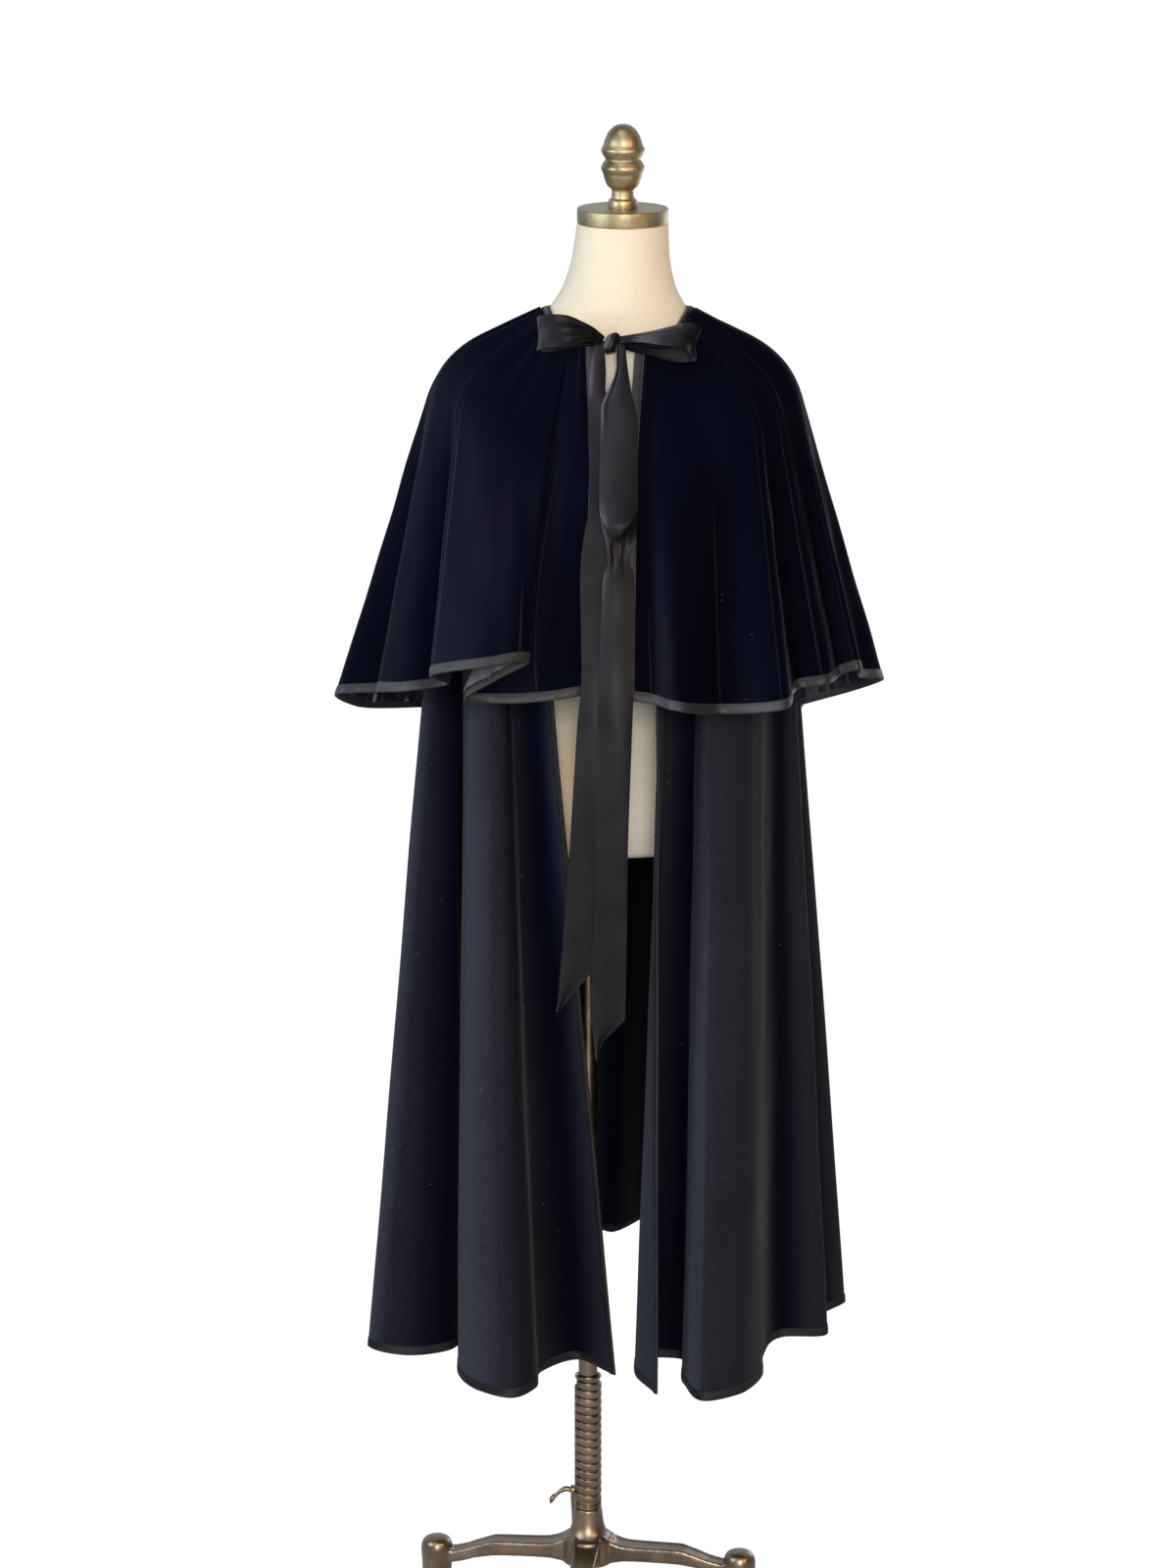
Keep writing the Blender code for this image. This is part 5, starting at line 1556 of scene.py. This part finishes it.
def make_cast_base():
    """Hub, legs and feet cast in one: their shapes are run together and smoothed."""
    hub_outside = refined(HUB_PROFILE, 40)
    hub = [(BORE_RADIUS, HUB_PROFILE[0][1]), *hub_outside, (0.001, HUB_PROFILE[-1][1])]
    bore = [(0.001, BORE_FLOOR), (BORE_RADIUS, BORE_FLOOR)]
    parts = [turned("hub", bore + hub, ROUND_SIDES)]
    for degrees in LEG_TURNS.values():
        turn = math.radians(degrees)
        parts.append(tube("leg", leg_rings(turn)))
        foot = turned("foot", refined(FOOT_PROFILE, 40), FOOT_SIDES)
        foot.transform(Matrix.Translation((FOOT_REACH * math.cos(turn), FOOT_REACH * math.sin(turn), 0.0)))
        parts.append(foot)
    rough = bpy.data.objects.new("cast_base_rough", joined("cast_base_rough", parts))
    bpy.context.scene.collection.objects.link(rough)
    remesh = rough.modifiers.new("run together", "REMESH")
    remesh.mode = "VOXEL"
    remesh.voxel_size = CAST_GRAIN
    soften = rough.modifiers.new("soften", "SMOOTH")
    soften.factor = 0.5
    soften.iterations = 4
    mesh = bpy.data.meshes.new_from_object(rough.evaluated_get(bpy.context.evaluated_depsgraph_get()))
    bpy.data.objects.remove(rough)
    mesh.name = "cast_base"
    return mesh


def make_lever():
    rows = refined(LEVER_PROFILE, 70)
    turn = round_turn(LEVER_SIDES)
    rings = []
    for x, z, radius in rows:
        ring = np.broadcast_arrays(x, radius * np.cos(turn), z + radius * np.sin(turn))
        rings.append(np.stack(ring, axis=-1))
    return tube("bent_lever", rings)


def make_coil(material):
    """The wound sleeve: a flat band in a coil over a thin tube, fine turns at its foot and a rim on top."""
    tree = wound_band(material)
    pitch = (SLEEVE_HIGH - SLEEVE_LOW - SLEEVE_FOOT - SLEEVE_RIM) / (SLEEVE_COILS + 1)
    coil = {"Turns": SLEEVE_COILS, "Rise": pitch * SLEEVE_COILS, "Band height": pitch - 0.0016, **COIL_BAND}
    band = grown("wound_band", tree, coil, bpy.data.meshes.new("coil_start"))
    band.transform(Matrix.Translation((0.0, 0.0, SLEEVE_LOW + SLEEVE_FOOT + pitch / 2)))
    fine = grown("fine_turns", tree, FINE_BAND, bpy.data.meshes.new("fine_start"))
    fine.transform(Matrix.Translation((0.0, 0.0, SLEEVE_LOW + 0.0008)))
    wall = (
        (BORE_RADIUS, SLEEVE_LOW), (0.0140, SLEEVE_LOW), (0.0130, SLEEVE_LOW + SLEEVE_FOOT),
        (0.0130, SLEEVE_HIGH - SLEEVE_RIM), (0.0146, SLEEVE_HIGH - 0.003), (0.0150, SLEEVE_HIGH - 0.001),
        (0.0146, SLEEVE_HIGH), (0.0132, SLEEVE_HIGH - 0.0004), (BORE_RADIUS, SLEEVE_HIGH - 0.003),
    )
    rings = [[(r * math.cos(a), r * math.sin(a), z) for r, z in wall] for a in round_turn(ROUND_SIDES)]
    inner = tube("sleeve_wall", rings, looped=True)
    return joined("wound_spring", [inner, band, fine])


def make_pole():
    inside = POLE_RADIUS - POLE_CHAMFER
    rod = (
        (inside, POLE_HIGH), (POLE_RADIUS, POLE_HIGH - POLE_CHAMFER), (POLE_RADIUS, POLE_LOW + POLE_CHAMFER),
        (inside, POLE_LOW),
    )
    return turned("round_pole", rod, ROUND_SIDES)


def make_stand(linen, brass, bronze):
    """The dress form with its brass, and the stand under it."""
    piece("linen_form", make_linen_form(), linen, "form", ["form_torso"])
    piece("form_seams", make_form_seams(), linen, "form", [])
    cap, finial = make_brass()
    piece("brass_cap", cap, brass, "form", ["neck_cap"])
    piece("brass_finial", finial, brass, "form", ["finial"], 70.0)
    collar = turned("turned_collar", COLLAR_PROFILE, ROUND_SIDES)
    piece("turned_collar", collar, bronze, "form", ["form_collar"])
    piece("round_pole", make_pole(), bronze, "mast", ["pole"])
    piece("wound_spring", make_coil(bronze), bronze, "base", ["coil_sleeve"])
    legs = [f"{kind}_{place}" for kind in ("leg", "foot") for place in ("front", "back", "left", "right")]
    piece("cast_base", make_cast_base(), bronze, "base", ["hub", *legs], 180.0)
    piece("bent_lever", make_lever(), bronze, "lever", ["clamp_lever"])


def make_all():
    make_camera()
    make_studio()
    ribbon, caplet_trim, cape_trim, lining_satin = (make_satin(name, *look) for name, look in SATINS.items())
    brass, bronze = (make_metal(name, *look) for name, look in METALS.items())
    stitch_tree, lint_tree = running_stitch(make_thread()), lint_specks(make_lint())

    cape, caplet = make_tiers()
    velvet, wool, linen = make_velvet(caplet.sheen_line_places(CAPLET_SHEEN_LINES)), make_wool(), make_linen()
    wool_panels, wool_trim, wool_paths = dress_tier(cape, "wool", wool, cape_trim)
    velvet_panels, velvet_trim, velvet_paths = dress_tier(caplet, "velvet", velvet, caplet_trim)
    linings = make_lining(caplet, lining_satin)
    wool_stitches = make_stitches("wool_stitches", wool_paths, stitch_tree)
    velvet_stitches = make_stitches("velvet_stitches", velvet_paths, stitch_tree)
    lint = make_lint_piece(cape, caplet, lint_tree)

    band = piece("neckband_satin", make_neckband(), ribbon, "form", ["neckband"])
    loops, tails = {}, {}
    for side, rows in (("left", LOOP_LEFT), ("right", LOOP_RIGHT)):
        mesh = make_loop(f"bow_{side}", rows, LOOP_SHADED[side])
        loops[side] = piece(mesh.name, mesh, ribbon, "form", [f"bow_loop_{side}"])
    knot = piece("knot_wrap", make_knot(), ribbon, "form", ["bow_knot"])
    for side, rows, pinch in (("left", TAIL_LEFT, None), ("right", TAIL_RIGHT, PINCH)):
        mesh = make_tail(f"ribbon_tail_{side}", rows, TAIL_END[side], pinch)
        tails[side] = piece(mesh.name, mesh, ribbon, "form", [f"tail_{side}"])
    make_stand(linen, brass, bronze)

    for panel, side, *_ in PANELS:
        for name, panels, trim in (("wool", wool_panels, wool_trim), ("velvet", velvet_panels, velvet_trim)):
            extra = list(trim[side])
            if side == "back":
                extra += [wool_stitches, lint] if name == "wool" else [velvet_stitches]


make_all()
